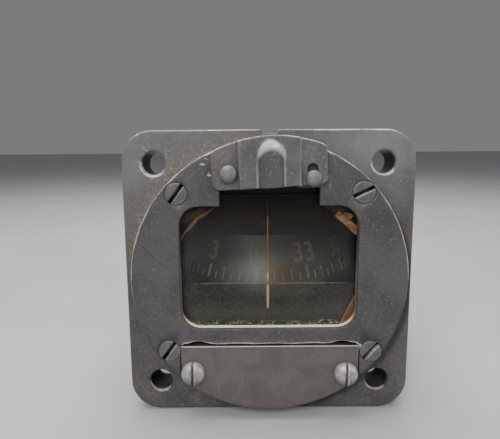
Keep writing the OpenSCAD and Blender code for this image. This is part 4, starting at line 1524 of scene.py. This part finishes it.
@dataclass
class Bezel:
    """Round front ring with the window, the light slot, the lamp pocket and the compensator's recess."""

    inner_y: float = -3.2
    lip: float = -2.0
    chamfer: float = 0.5
    recess_half: float = 18.55
    recess_top: float = -13.5
    recess_low: float = -19.9
    head_r: float = 2.32
    head_t: float = 1.3

    def recess_edge(self) -> list[Point]:
        """Wavy upper edge of the compensator's recess, from the left to the right."""
        steps, edge = 44, []
        for k in range(steps + 1):
            x = -self.recess_half + 2 * self.recess_half * k / steps
            bulge = 0.62 * math.exp(-(((abs(x) - 14.8) / 1.9) ** 2))
            wave = 0.06 * math.sin(0.8 * x + 0.6) + 0.035 * math.sin(4.3 * x + 1.1)
            corner = 0.5 * max(0.0, 1 - (self.recess_half - abs(x)) / 0.9) ** 2
            edge.append((x, self.recess_top - 0.12 + bulge + wave - corner))
        return edge

    def outline(self) -> tuple[list[Point], list[float], list[float]]:
        """Outer outline with the recess, and the rounding and the reach of wear at each point."""
        blunt = self.recess_half + 0.75
        start = math.degrees(math.atan2(-math.sqrt(FRONT_R**2 - blunt**2), blunt))
        rise = self.recess_top - 0.9 - self.recess_low
        left = [(-self.recess_half, self.recess_low + rise * k / 6) for k in range(7)]
        right = [(-x, z) for x, z in reversed(left)]
        points = arc((0, 0), FRONT_R, start, 180 - start, 132) + left + self.recess_edge() + right
        share, reach = [], []
        for x, z in points:
            tip = clamped((z + 20.3) / 5.0) if z < 0 else 1.0
            crown = clamped((abs(x) - 8.5) / 2.5) if z > 0 else 1.0
            on_rim = math.hypot(x, z) > FRONT_R - 0.01
            share.append(0.12 + ((self.chamfer if on_rim else 0.35) - 0.12) * min(tip, crown))
            reach.append(0.06 + 0.44 * min(tip, crown))
        return points, share, reach

    def window(self) -> tuple[list[Point], int, int]:
        """Outline of the openings, with the places where the glass recess ends in it."""
        (left, bottom), (right, top), r = (-18.1, -10.25), (17.8, 15.0), 4.0
        points = arc((right - r, bottom + r), r, -90, 0, 10) + arc((right - r, top - r), r, 0, 90, 10)
        points += [(9.9, 15.0), (9.9, GLASS_Z[1])]
        first = len(points) - 1
        points += [(9.9, 18.6), (5.6, 18.6), (5.6, 26.8), (-5.6, 26.8), (-5.6, 18.6), (-9.9, 18.6)]
        points += [(-9.9, GLASS_Z[1]), (-9.9, 15.0)]
        last = len(points) - 2
        points += arc((left + r, top - r), r, 90, 180, 10) + arc((left + r, bottom + r), r, 180, 270, 10)
        return points, first, last

    def build(self, paint: Material, reveal: Material) -> Object:
        """Makes the bezel's mesh.

        Args:
            paint: finish of the front.
            reveal: finish of the window's inner faces.

        Returns:
            The piece.
        """
        skin = Skin()
        outline, share, reach = self.outline()
        outer, outer_back = skin.rounded(outline, FRONT_Y, 0.0, share, Edge.OUTER, reach=reach)
        points, first, last = self.window()
        tight = [z > GLASS_Z[1] for x, z in points]
        share = [0.1 if t else 0.3 for t in tight]
        reach = [0.1 if t else 0.4 for t in tight]
        mouth, inner = skin.rounded(points, FRONT_Y, self.inner_y, share, Edge.HOLE, worn=0.75, reach=reach)
        skin.face(outer, mouth)
        skin.slot = 1
        lip = skin.loop(points, self.lip)
        skin.wall(inner, lip)
        skin.slot = 0
        recess = chorded(GLASS_R, *GLASS_Z)
        half = len(recess) // 2
        path = skin.loop(recess[:half][::-1] + recess[half:][::-1], self.lip)
        skin.face(lip[last:] + lip[: first + 1] + path)
        skin.slot = 1
        upper = lip[first : last + 1] + path[::-1]
        back = skin.loop([(v.co.x / MM, v.co.z / MM) for v in upper], 0.0)
        skin.wall(upper, back)
        skin.slot = 0
        skin.face(outer_back, back)
        piece = skin.finish("bezel_ring", [paint, reveal])
        for x, z, _ in FLUSH_SLOTS:
            bore = prism(circle((x, z), self.head_r, 40), FRONT_Y - 1, FRONT_Y + self.head_t)
            joined(piece, bore, Cut.AWAY)
        return piece


@dataclass
class CompensatorPlate:
    """Blank cover plate below the window, cut round at its lower edge."""

    half: float = 18.4
    top: float = -14.1
    back: float = -2.4

    def build(self, metal: Material) -> Object:
        """Makes the plate's mesh."""
        low, count = -math.sqrt(FRONT_R**2 - self.half**2), 24
        start = math.degrees(math.atan2(low, self.half))
        rim = arc((0, 0), FRONT_R, -180 - start, start, 60)
        upper = [(self.half - 2 * self.half * k / count, self.top) for k in range(count + 1)]
        outline = rim + [(self.half, low + 3), *upper, (-self.half, low + 3)]
        share = [0.45] * len(rim) + [0.25] + [0.2] * len(upper) + [0.25]
        skin = Skin()
        for ring in skin.rounded(outline, FRONT_Y, self.back, share, Edge.OUTER, steps=3):
            skin.face(ring)
        # The lower edges keep less of the bright edge colour than the top edge, whose worn metal also stands
        # for a painted highlight from above.
        for vert in skin.mesh.verts:
            if vert.co.z / MM < self.top - 0.7:
                vert[skin.edge] *= 0.62
        return skin.finish("compensator_cover_plate", [metal])


def border(columns: list[Ring]) -> Ring:
    """Vertices round the outside of a grid that is given as columns."""
    foot, top = ([column[end] for column in columns] for end in (0, -1))
    return foot + columns[-1][1:] + top[-2::-1] + columns[0][-2:0:-1]


@dataclass
class LampCover:
    """Cast cover over the lamp: flat wings, a raised block and a half-round dome, hollow behind."""

    half: float = 11.3
    low: float = 18.25
    wing_front: float = -4.9
    wing_back: float = -3.95
    block_half: float = 5.95
    block_front: float = -6.1
    hollow_top: float = 27.0
    dome_x: float = 0.2
    dome_axis: float = -5.45
    dome_r: float = 2.55
    dome_top: float = 27.5
    wall: float = 0.75
    corner: float = 1.5
    soft: float = 0.35
    slot_at: Point = (8.3, 21.38)
    slot_r: float = 1.05
    lift: float = 3.2
    marks: tuple[float, ...] = (
        -11.3, -10.8, -9.0, -7.0, -6.3, -5.2, -3.4, -2.5, 2.6, 3.6, 5.2, 6.3, 7.0, 9.0, 10.8, 11.3,
    )
    counts: tuple[int, ...] = (6, 5, 5, 6, 14, 8, 12, 40, 12, 8, 14, 6, 5, 5, 6)

    def places(self) -> list[float]:
        """Places across the cover, closer together at its steps."""
        places: list[float] = []
        for a, b, n in zip(self.marks, self.marks[1:], self.counts):
            places += [a + (b - a) * k / n for k in range(n)]
        return places + [self.half]

    def span(self, x: float) -> Point:
        """Lowest and highest place of the cover in one column."""
        top = math.sqrt(FRONT_R**2 - x * x)
        side = self.half - abs(x)
        if side < self.corner:
            lost = self.corner - math.sqrt(max(0.0, self.corner**2 - (self.corner - side) ** 2))
            return self.low + lost, top - lost * 0.45
        return self.low, top

    def off_dome(self, x: float, z: float) -> float:
        """Distance of a spot from the middle line of the dome."""
        return math.hypot(x - self.dome_x, max(0.0, z - (self.dome_top - self.dome_r)))

    def front_at(self, x: float, z: float, rim: float) -> float:
        """Depth of the front surface.

        Args:
            x: place across.
            z: height.
            rim: distance to the cover's outline.

        Returns:
            The depth in millimetres.
        """
        rise = clamped((self.block_half + 0.4 - abs(x)) / 0.56)
        face = self.wing_front + (self.block_front - self.wing_front) * rise * rise * (3 - 2 * rise)
        off = self.off_dome(x, z)
        if off < self.dome_r:
            dome = self.dome_axis - math.sqrt(self.dome_r**2 - off * off)
            near = max(0.0, self.soft - abs(dome - face)) / self.soft
            face = min(dome, face) - near * near * self.soft * 0.25
        inward = self.soft - min(rim, self.soft)
        return face + self.soft - math.sqrt(max(0.0, self.soft**2 - inward**2))

    def back_at(self, x: float, z: float) -> float:
        """Depth of the hollow back surface."""
        inside = min(self.block_half - self.wall - abs(x), self.hollow_top - z)
        if inside <= 0:
            return self.wing_back
        face = self.wing_back + (self.block_front + self.wall - self.wing_back) * min(1.0, inside / 0.25)
        bore, off = self.dome_r - self.wall, self.off_dome(x, z)
        return min(face, self.dome_axis - math.sqrt(bore**2 - off * off)) if off < bore else face

    def wear_and_highlight_at(self, x: float, z: float, rim: float) -> float:
        """How bright a spot of the front gets along its outline, the block's steps and the dome's flanks:
        rubbing, and painted highlight where the ridges catch light.
        """
        step = math.exp(-(((abs(x) - self.block_half + 0.15) / 0.3) ** 2))
        flank = math.exp(-(((abs(x - self.dome_x) - self.dome_r) / 0.25) ** 2)) * (z < self.dome_top - 0.4)
        return max(1.0 - rim / 0.55, step * 0.6, flank * 0.3, 0.0)

    def build(self, finish: Material) -> Object:
        """Makes the cover, lifted on its left stud as it was left."""
        skin = Skin()
        shares = [0, 0.012, 0.03, 0.055] + [0.09 + 0.82 * k / 56 for k in range(57)] + [0.945, 0.97, 0.988, 1]
        front: list[Ring] = []
        back: list[Ring] = []
        for x in self.places():
            low, high = self.span(x)
            spots = [(x, low + (high - low) * share) for share in shares]
            rims = [max(0.0, min(z - low, high - z, self.half - abs(x))) for _, z in spots]
            front.append(skin.loop(spots, [self.front_at(*spot, rim) for spot, rim in zip(spots, rims)]))
            back.append(skin.loop(spots, [self.back_at(*spot) for spot in spots]))
            for vert, spot, rim in zip(front[-1], spots, rims):
                vert[skin.edge] = self.wear_and_highlight_at(*spot, rim)
        for columns in (front, back):
            for a, b in zip(columns, columns[1:]):
                skin.wall(a, b, closed=False)
        skin.wall(border(front), border(back))
        piece = skin.finish("lamp_cover_casting", [finish], sharp=40.0)
        x, r, foot = self.slot_at[0], self.slot_r, self.low - 1
        slot = arc(self.slot_at, r, 0, 180, 16) + [(x - r, foot), (x + r, foot)]
        joined(piece, prism(slot, self.wing_front - 1, self.wing_back + 1), Cut.AWAY)
        pivot = Vector((PIVOT[0] * MM, 0.0, PIVOT[1] * MM))
        turn = Matrix.Rotation(math.radians(-self.lift), 4, "Y")
        piece.data.transform(Matrix.Translation(pivot) @ turn @ Matrix.Translation(-pivot))
        return piece


class Fasteners:
    """Slotted screws and domed studs of the front."""

    SLOT_DEPTH = 0.85
    LIP_DEPTH = 0.09
    LIP_WIDTH = 0.13
    STUD_Y = -4.95

    def __init__(self) -> None:
        """Builds the tree that sets copies of a head at points, each turned by its own angle."""
        self.tree = CopyTree("repeat_at_points", Points="Geometry", Shape="Object")
        shape = self.tree.node("GeometryNodeObjectInfo", Object=self.tree.given("Shape"))
        turn = self.tree.node("GeometryNodeInputNamedAttribute", Name="turn")
        turn.data_type = "FLOAT"
        angles = self.tree.node("ShaderNodeCombineXYZ", Y=turn.outputs["Attribute"])
        self.tree.spread(self.tree.given("Points"), shape.outputs["Geometry"], angles.outputs[0])

    def copied(
        self, name: str, head: Object, y: float, slots: tuple[Place, ...],
        finish: Material,
    ) -> Object:
        """Sets copies of a head and turns them into one plain mesh.

        Args:
            name: name of the new piece.
            head: the head, which is removed afterwards.
            y: depth at which the heads sit.
            slots: X, Z and turn in degrees of each copy.
            finish: finish of the copies.

        Returns:
            The piece.
        """
        data = bpy.data.meshes.new(name)
        data.from_pydata([(x * MM, y * MM, z * MM) for x, z, _ in slots], [], [])
        turns = data.attributes.new("turn", "FLOAT", "POINT")
        turns.data.foreach_set("value", [-math.radians(turn) for _, _, turn in slots])
        piece = self.tree.run(name, data, Shape=head, Finish=finish)
        bpy.data.objects.remove(head)
        return piece

    def slotted(self, head: Object, top: float, width: float) -> Object:
        """Cuts a slot with softened lips across a head.

        Args:
            head: the head, centred on the axis.
            top: depth of the head's top.
            width: width of the slot.

        Returns:
            The head.
        """
        reach = 4.0
        for half, depth in ((width / 2, self.SLOT_DEPTH), (width / 2 + self.LIP_WIDTH, self.LIP_DEPTH)):
            box = [(-reach, -half), (reach, -half), (reach, half), (-reach, half)]
            joined(head, prism(box, top - 1, top + depth), Cut.AWAY)
        return head

    def bezel_screws(self, finish: Material) -> Object:
        """Four flush screws that hold the bezel."""
        r, top = 2.25, -0.02
        profile = [(1.2, top - 0.03, 0.0), (r - 0.45, top, 0.1), (r - 0.16, top + 0.03, 1.0)]
        profile += [(r - 0.04, top + 0.12, 0.9), (r, top + 0.3, 0.2), (r, 1.15, 0.0)]
        head = self.slotted(turned(profile), top, 0.8)
        return self.copied("bezel_screw_heads", head, FRONT_Y, FLUSH_SLOTS, finish)

    def plate_screws(self, finish: Material) -> Object:
        """Two domed screws in the compensator's plate."""
        r, top = 2.45, -2.0
        profile = [(0.5, top, 0.3), (1.2, top + 0.07, 0.4), (1.75, top + 0.26, 0.8), (2.15, top + 0.58, 1.0)]
        profile += [(2.38, top + 1.0, 0.7), (r, top + 1.4, 0.2), (r, -0.1, 0.0), (r - 0.08, 0.02, 0.0)]
        head = self.slotted(turned(profile), top, 0.64)
        return self.copied("plate_screw_heads", head, FRONT_Y, DOMED_SLOTS, finish)

    def stud(self, name: str, r: float, spot: Point, finish: Material) -> Object:
        """Domed stud that holds one side of the lamp cover.

        Args:
            name: name of the piece.
            r: radius of its head.
            spot: its place in X and Z.
            finish: its finish.

        Returns:
            The piece.
        """
        top, shank = -1.2, 0.8
        profile = [(0.35, top, 0.9), (r * 0.45, top + 0.05, 0.6), (r * 0.75, top + 0.22, 0.3)]
        profile += [(r * 0.93, top + 0.5, 0.3), (r, top + 0.8, 0.5), (r, -0.08, 0.1), (r - 0.08, 0.0, 0.0)]
        head = turned([*profile, (shank, 0.0, 0.0), (shank, 8.5, 0.0)])
        return self.copied(name, head, self.STUD_Y, ((*spot, 0.0),), finish)


@dataclass
class CardMarks:
    """Graduations and numerals on the cone of the compass card."""

    axis_y: float = 25.0
    rim_r: float = 23.0
    rim_z: float = -2.9
    top_r: float = 19.0
    top_z: float = 7.4
    heading: float = 6.5
    count: int = 72
    tick_low: float = -2.05
    tick_t: float = 0.05
    heights: tuple[float, float, float] = (1.45, 2.35, 2.85)
    widths: tuple[float, float, float] = (0.28, 0.34, 0.62)
    words: tuple[str, ...] = ("N", "3", "6", "E", "12", "15", "S", "21", "24", "W", "30", "33")
    letter_low: float = 1.75
    letter_high: float = 5.75
    capital: float = 0.69
    narrow: float = 0.92
    lift: float = 0.03

    @property
    def drop(self) -> float:
        """How much narrower the cone gets per millimetre of height."""
        return (self.rim_r - self.top_r) / (self.top_z - self.rim_z)

    @property
    def slope(self) -> float:
        """Lean of the cone from the vertical, in radians."""
        return math.atan(self.drop)

    def on_cone(self, angle: float, z: float, lift: float = 0.0) -> Vector:
        """Point on the cone.

        Args:
            angle: degrees from the mark that faces the front.
            z: its height.
            lift: distance off the surface.

        Returns:
            The place in metres.
        """
        radius = self.rim_r - self.drop * (z - self.rim_z) + lift * math.cos(self.slope)
        across, deep = radius * math.sin(math.radians(angle)), radius * math.cos(math.radians(angle))
        return Vector((-across, self.axis_y - deep, z + lift * math.sin(self.slope))) * MM

    def graduation_tree(self) -> CopyTree:
        """Tree that sets one bar for each mark, longer at every tenth degree and bold at every thirtieth."""
        t = CopyTree("graduations", Count="Int", Heading="Float")
        points = t.node("GeometryNodePoints", Count=t.given("Count"))
        index = Value(t, t.node("GeometryNodeInputIndex").outputs[0])
        step = 2 * math.pi / t.given("Count")
        angle = index * step + t.given("Heading")
        tens, thirties = (t.math("LESS_THAN", t.math("MODULO", index, each), 0.5) for each in (2.0, 6.0))
        sizes = []
        for low, middle, high in (self.heights, self.widths):
            grown = low + tens * (middle - low) + thirties * (high - middle)
            sizes.append(grown * MM)
        height, width = sizes
        middle_z = self.tick_low * MM + height * 0.5
        foot = (self.rim_r + self.rim_z * self.drop + self.lift) * MM
        radius = foot - middle_z * self.drop
        across = radius * t.math("SINE", angle) * -1.0
        deep = self.axis_y * MM - radius * t.math("COSINE", angle)
        place = t.node("ShaderNodeCombineXYZ", across, deep, middle_z).outputs[0]
        moved = t.node("GeometryNodeSetPosition", Geometry=points.outputs[0], Position=place).outputs[0]
        turn = t.node("ShaderNodeCombineXYZ", -self.slope, 0.0, angle * -1.0).outputs[0]
        tall = height / math.cos(self.slope)
        size = t.node("ShaderNodeCombineXYZ", width, self.tick_t * MM, tall).outputs[0]
        t.spread(moved, t.node("GeometryNodeMeshCube").outputs["Mesh"], turn, size)
        return t

    def graduations(self, finish: Material) -> Object:
        """Marks round the card's rim."""
        name = "card_graduations"
        values = {"Count": self.count, "Heading": math.radians(self.heading), "Finish": finish}
        return self.graduation_tree().run(name, bpy.data.meshes.new(name), **values)

    def lettering(self, word: str) -> Mesh:
        """Flat mesh of a word, one unit high.

        Args:
            word: the number or letter.

        Returns:
            Its mesh, centred on X = 0.
        """
        curve = bpy.data.curves.new("numeral", "FONT")
        curve.body = word
        curve.align_x = "CENTER"
        curve.size = 1.0
        curve.extrude = 0.008
        curve.offset = 0.012
        curve.resolution_u = 3
        letter = linked("numeral", curve)
        data = plain_mesh(letter)
        bpy.data.objects.remove(letter)
        bpy.data.curves.remove(curve)
        return data

    def numerals(self, finish: Material) -> Object:
        """Numerals and the four cardinal letters, wrapped on the cone."""
        skin = Skin()
        middle = self.on_cone(0.0, (self.letter_low + self.letter_high) / 2)
        tall = (self.letter_high - self.letter_low) / self.capital
        wide = tall / math.cos(self.slope) * self.narrow / (self.axis_y - middle.y / MM)
        for k, word in enumerate(self.words):
            data = self.lettering(word)
            for vert in data.vertices:
                across, up, out = vert.co
                angle = self.heading + 30 * k - math.degrees(across * wide)
                vert.co = self.on_cone(angle, self.letter_low + up * tall, self.lift + out * 3)
            skin.mesh.from_mesh(data)
            bpy.data.meshes.remove(data)
        return skin.finish("card_numerals", [finish], sharp=30.0)


@dataclass
class WindowDetails:
    """Gasket, lubber line and the line that the fluid has left on the glass."""

    edges: tuple[Point, ...] = ((90.0, 15.8), (-90.0, 11.0), (48.6, 18.45), (130.2, 18.2), (-25.8, 18.35))
    lubber_at: Point = (-0.2, 0.65)
    line_half: float = 18.6

    def gasket(self, finish: Material) -> Object:
        """Shrunken seal between the glass and the case, with an uneven inner edge."""
        skin = Skin()
        outer = chorded(GLASS_R - 0.05, GLASS_Z[0] + 0.05, GLASS_Z[1] - 0.05, 60)
        inner: list[Point] = []
        for k in range(360):
            turn = math.radians(k)
            reach = OPENING_R
            for angle, distance in self.edges:
                facing = math.cos(turn - math.radians(angle))
                if facing > 0.05:
                    reach = min(reach, distance / facing)
            reach *= 1 + 0.0022 * math.sin(9 * turn) + 0.0015 * math.sin(23 * turn + 1)
            inner.append((reach * math.cos(turn), reach * math.sin(turn)))
        a, b = skin.band(outer, 0.02, 1.46)
        c, d = skin.loop(inner, 0.1, 0.5), skin.loop(inner, 1.46)
        skin.wall(c, d)
        skin.face(a, c)
        skin.face(b, d)
        return skin.finish("window_seal", [finish])

    def lubber(self, *finishes: Material) -> Object:
        """Painted wire in front of the card: black above, then reddish and thin, then cream and thicker; the
        black is painted shade, and the reddish and the cream stretch are one paint, painted dimmer above and
        brighter below as the light on it changes.
        """
        skin = Skin()
        # Last number of each row picks the finish: 0 is painted shade, 1 the dimmer reddish paint, 2 the
        # brighter cream paint.
        rows = [(15.9, 0.12, 0), (12.4, 0.12, 0), (11.9, 0.13, 1), (0.5, 0.15, 1)]
        rows += [(0.1, 0.2, 2), (-3.2, 0.25, 2), (-6.2, 0.25, 2), (-7.5, 0.17, 2)]
        section = ((-1, -0.3), (-0.5, -1), (0.5, -1), (1, -0.3), (1, 1), (-1, 1))
        x, y = self.lubber_at
        depths = [y + dy * 0.2 for _, dy in section]
        rings = [skin.loop([(x + dx * half, z) for dx, _ in section], depths) for z, half, _ in rows]
        skin.tube(rings, [slot for _, _, slot in rows])
        return skin.finish("lubber_wire", list(finishes))

    def fluid_line(self, finish: Material) -> Object:
        """Thin rim of fluid along the inside of the glass, climbing at the lubber line."""
        skin = Skin()
        section = ((0.03, -1), (0.03, 1), (0.16, 0.6), (0.16, -0.6))
        rings: list[Ring] = []
        for k in range(81):
            x = self.line_half * (k / 40 - 1)
            z = -1.9 + 0.2 * abs(x / 17.5) ** 4 + 0.2 * math.exp(-(((x + 0.6) / 1.8) ** 2))
            half = (0.36 + 0.07 * math.sin(x * 1.3)) * max(0.1, 1 - abs(x / 16.5) ** 4)
            rings.append(skin.loop([(x, z + dz * half) for _, dz in section], [y for y, _ in section]))
        skin.tube(rings)
        return skin.finish("fluid_line", [finish])


@dataclass
class Studio:
    """Pale floor, soft light from above and the camera of the picture."""

    tilt: float = 0.0443
    floor_y: float = 7.6
    place: Place = (-3.807, -82.265, 22.898)
    right: Place = (0.99998, 0.00019, -0.00706)
    up: Place = (0.00697, 0.13302, 0.99109)
    forward: Place = (-0.00113, 0.99111, -0.13301)
    lens: float = 28.8
    floor_colour: Colour = (0.52, 0.52, 0.53)
    room: Colour = (0.82, 0.84, 0.87)
    room_light: float = 0.24

    def floor(self) -> Object:
        """Large plain floor, tilted as the object stands on it."""
        g = Graph("studio_floor")
        cloud = g.clouds(0.4, 0.6, 60.0, 3, 0.5)
        g.shade(Base_Color=g.mix(cloud, scaled(self.floor_colour, 0.94), self.floor_colour), Roughness=0.9)
        g.shade(Normal=g.bump(g.noise(1.2, 2), 0.03))
        data = bpy.data.meshes.new("floor")
        corners = []
        for x, y in ((-3000, -1500), (3000, -1500), (3000, 4500), (-3000, 4500)):
            corners.append((x * MM, y * MM, ((y - self.floor_y) * self.tilt - FLANGE_HALF) * MM))
        data.from_pydata(corners, [], [(0, 1, 2, 3)])
        data.materials.append(g.material)
        floor = linked("floor", data)
        return floor

    def lamp(self, name: str, place: Place, aim: Place, size: Point, power: float, colour: Colour) -> None:
        """Adds one soft rectangular light.

        Args:
            name: its name.
            place: where it hangs, in millimetres.
            aim: what it points at.
            size: its width and height in millimetres.
            power: its power in watts.
            colour: its colour.
        """
        data = bpy.data.lights.new(name, "AREA")
        data.shape = "RECTANGLE"
        data.size, data.size_y = size[0] * MM, size[1] * MM
        data.energy = power
        data.color = colour
        light = linked(name, data)
        light.location = Vector(place) * MM
        light.rotation_mode = "QUATERNION"
        light.rotation_quaternion = (Vector(aim) - Vector(place)).to_track_quat("-Z", "Y")

    def lights(self) -> None:
        """Sets up the light of the picture: wide and soft from above, with little from the front."""
        self.lamp("overhead", (-40, 60, 420), (0, 10, 0), (520, 420), 3.2, (1.0, 0.985, 0.96))
        self.lamp("front_fill", (-140, -420, 330), (0, 0, 5), (300, 220), 1.7, (1.0, 0.98, 0.95))
        self.lamp("side_fill", (330, -160, 120), (0, 0, 0), (240, 200), 0.35, (0.95, 0.97, 1.0))
        world = bpy.data.worlds.new("soft_room")
        world.use_nodes = True
        background = world.node_tree.nodes["Background"]
        background.inputs["Color"].default_value = (*self.room, 1.0)
        background.inputs["Strength"].default_value = self.room_light
        bpy.context.scene.world = world

    def camera(self) -> None:
        """Places the camera that took the picture."""
        data = bpy.data.cameras.new("camera")
        data.lens = self.lens
        data.sensor_width = 36.0
        data.clip_start, data.clip_end = 0.005, 20.0
        camera = linked("camera", data)
        turn = Matrix((self.right, self.up, tuple(-f for f in self.forward))).transposed()
        camera.matrix_world = Matrix.Translation(Vector(self.place) * MM) @ turn.to_4x4()
        bpy.context.scene.camera = camera


Finish = WornPaint | Metal | Matter | Reveal | Seal | Glass


@dataclass
class Finishes:
    """Every finish of the object, built once and kept by its name."""

    made: dict[str, Material] = field(default_factory=dict)

    def get(self, finish: Finish) -> Material:
        """Material of a finish."""
        if finish.name not in self.made:
            self.made[finish.name] = finish.build()
        return self.made[finish.name]


FLUSH_HEADS = Heads(FLUSH_SLOTS, 2.6, 0.4, -3.75, (0.006, 0.006, 0.006), (0.5, 0.48, 0.42))
DOMED_HEADS = Heads(
    DOMED_SLOTS, 2.8, 0.32, -5.75, (0.10, 0.085, 0.07), (0.85, 0.83, 0.76), (-19.7, -20.0), 0.75)
STUD_HEADS = Heads(middle=(PIVOT[1], CATCH[1]), round_shade=0.6)

FLANGE_PAINT = FlangePaint("flange_paint")
BEZEL_PAINT = BezelPaint("bezel_paint")
COVER_PAINT = CoverPaint("cover_paint")
REAR_PAINT = WornPaint("rear_paint")
REVEAL = Reveal("bare_reveal")
INSIDE = Matter("case_inside", (0.010, 0.010, 0.010), (0.022, 0.020, 0.017), 0.6, 4.0)
PLATE = Metal(
    "plate_metal", (0.148, 0.13, 0.125), (0.116, 0.102, 0.098), 0.45, 0.35, 0.2, 5.0,
    (0.80, 0.75, 0.64), 88.0)
STUD = Metal("stud_steel", (0.215, 0.212, 0.206), (0.15, 0.149, 0.142), 0.5, 0.3, 0.1, 1.2, heads=STUD_HEADS)
DARK = Metal(
    "dark_steel", (0.155, 0.143, 0.142), (0.11, 0.102, 0.102), 0.45, 0.3, 0.15, 1.6, heads=FLUSH_HEADS)
ZINC = Metal("zinc_steel", (0.46, 0.43, 0.44), (0.26, 0.24, 0.245), 0.42, 0.45, 0.2, 1.3, heads=DOMED_HEADS)
BRASS = Metal("gear_brass", (0.40, 0.30, 0.14), (0.18, 0.13, 0.065), 0.4, 0.9, 0.3, 1.8)
FLOAT = Metal("float_brass", (0.05, 0.042, 0.03), (0.022, 0.02, 0.016), 0.55, 0.5, 0.1, 3.0)
CAST = Metal("cast_zinc", (0.24, 0.235, 0.225), (0.12, 0.118, 0.112), 0.5, 0.7, 0.15, 2.0)
MAGNET = Metal("magnet_steel", (0.3, 0.3, 0.305), (0.12, 0.12, 0.125), 0.35, 0.9, 0.3, 1.5)
SPRING = Metal("spring_steel", (0.55, 0.55, 0.56), (0.3, 0.3, 0.3), 0.28, 0.95, 0.2, 1.5)
RUBBER = Matter("black_rubber", (0.012, 0.012, 0.012), (0.03, 0.028, 0.026), 0.75, 1.2)
SOCKET = Matter("socket_plastic", (0.016, 0.014, 0.013), (0.04, 0.034, 0.03), 0.45, 2.0)
JEWEL = Matter("jewel", (0.32, 0.01, 0.035), (0.2, 0.005, 0.02), 0.12, 1.0)
CARD = Matter("card_black", (0.007, 0.007, 0.007), (0.016, 0.015, 0.013), 0.5, 5.0)
# The luminous finishes' second last number and the lubber finishes' last number are painted emission.
LUMINOUS = Matter("aged_luminous", (0.25, 0.20, 0.11), (0.14, 0.075, 0.04), 0.6, 3.5, 0.44, 0.01, 0.07, 0.8)
FADED = Matter("faded_luminous", (0.105, 0.088, 0.052), (0.10, 0.05, 0.028), 0.6, 4.0, 0.46, 0.01, 0.05, 0.7)
# The reddish and the cream lubber finishes are one paint, painted dimmer and brighter.
LUBBER_THIN = Matter("lubber_red", (0.36, 0.12, 0.035), (0.2, 0.06, 0.02), 0.5, 1.2, 0.45, 0.01, 0.2)
LUBBER_THICK = Matter("lubber_cream", (0.95, 0.66, 0.27), (0.55, 0.36, 0.14), 0.5, 1.2, 0.5, 0.01, 0.2)
AMBER = Seal("amber_gasket")
FLUID = Matter("fluid_rim", (0.095, 0.08, 0.05), (0.145, 0.13, 0.088), 0.6, 1.0)
GLASS = Glass("clear_glass")

NODE_FINISHES: dict[str, Finish] = {
    "case_paint": REAR_PAINT, "bezel_paint": BEZEL_PAINT, "cover_paint": COVER_PAINT, "plate_metal": PLATE,
    "dark_steel": DARK, "stud_steel": STUD, "zinc_steel": ZINC, "clear_glass": GLASS, "amber_gasket": AMBER,
    "black_rubber": RUBBER, "lubber_paint": LUBBER_THICK, "card_black": CARD, "float_brass": FLOAT,
    "gear_brass": BRASS, "magnet_steel": MAGNET, "cast_zinc": CAST, "spring_steel": SPRING, "jewel": JEWEL,
    "socket_plastic": SOCKET,
}


def dress_nodes(frame: dict, finishes: Finishes) -> None:
    """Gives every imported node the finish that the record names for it.

    Args:
        finishes: where the materials come from.
    """
    slots = {part["node"]: part["material_slot"] for part in frame["record"]["subparts"]}
    for name, node in frame["nodes"].items():
        node.data.materials.clear()
        node.data.materials.append(finishes.get(NODE_FINISHES[slots[name]]))


def add(piece: Object, body: str, slot: str, *nodes: str) -> None:
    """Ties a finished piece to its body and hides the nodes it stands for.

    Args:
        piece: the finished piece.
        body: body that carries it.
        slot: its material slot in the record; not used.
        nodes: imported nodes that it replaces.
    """
    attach(piece, body)
    if nodes:
        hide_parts(*nodes)
    LOG.info("%s: %d faces on %s", piece.name, len(piece.data.polygons), body)


def main() -> None:
    """Builds the dressed object, its room and its camera."""
    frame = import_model()
    finishes = Finishes()
    get = finishes.get
    dress_nodes(frame, finishes)

    add(Case().build(get(FLANGE_PAINT), get(INSIDE)), "case", "case_paint", "case_body")
    add(Bezel().build(get(BEZEL_PAINT), get(REVEAL)), "case", "bezel_paint", "front_bezel")
    add(CompensatorPlate().build(get(PLATE)), "case", "plate_metal", "compensator_plate")
    add(LampCover().build(get(COVER_PAINT)), "lamp_cover", "cover_paint", "lamp_cover")

    fasteners = Fasteners()
    add(fasteners.bezel_screws(get(DARK)), "case", "dark_steel", "bezel_screws")
    add(fasteners.plate_screws(get(ZINC)), "case", "zinc_steel", "plate_screws")
    add(fasteners.stud("pivot_stud_head", 1.72, PIVOT, get(STUD)), "case", "stud_steel", "pivot_stud")
    add(fasteners.stud("catch_stud_head", 1.6, CATCH, get(STUD)), "case", "stud_steel", "catch_stud")

    window = WindowDetails()
    add(window.gasket(get(AMBER)), "case", "amber_gasket", "glass_gasket")
    # The case's near-black inside finish serves as painted shade on the wire's top.
    wire = window.lubber(get(INSIDE), get(LUBBER_THIN), get(LUBBER_THICK))
    add(wire, "case", "lubber_paint", "lubber_line")
    add(window.fluid_line(get(FLUID)), "case", "clear_glass")

    marks = CardMarks()
    add(marks.graduations(get(LUMINOUS)), "card", "lubber_paint")
    add(marks.numerals(get(FADED)), "card", "lubber_paint")

    studio = Studio()
    studio.floor()
    studio.lights()
    studio.camera()


if __name__ == "__main__":
    main()
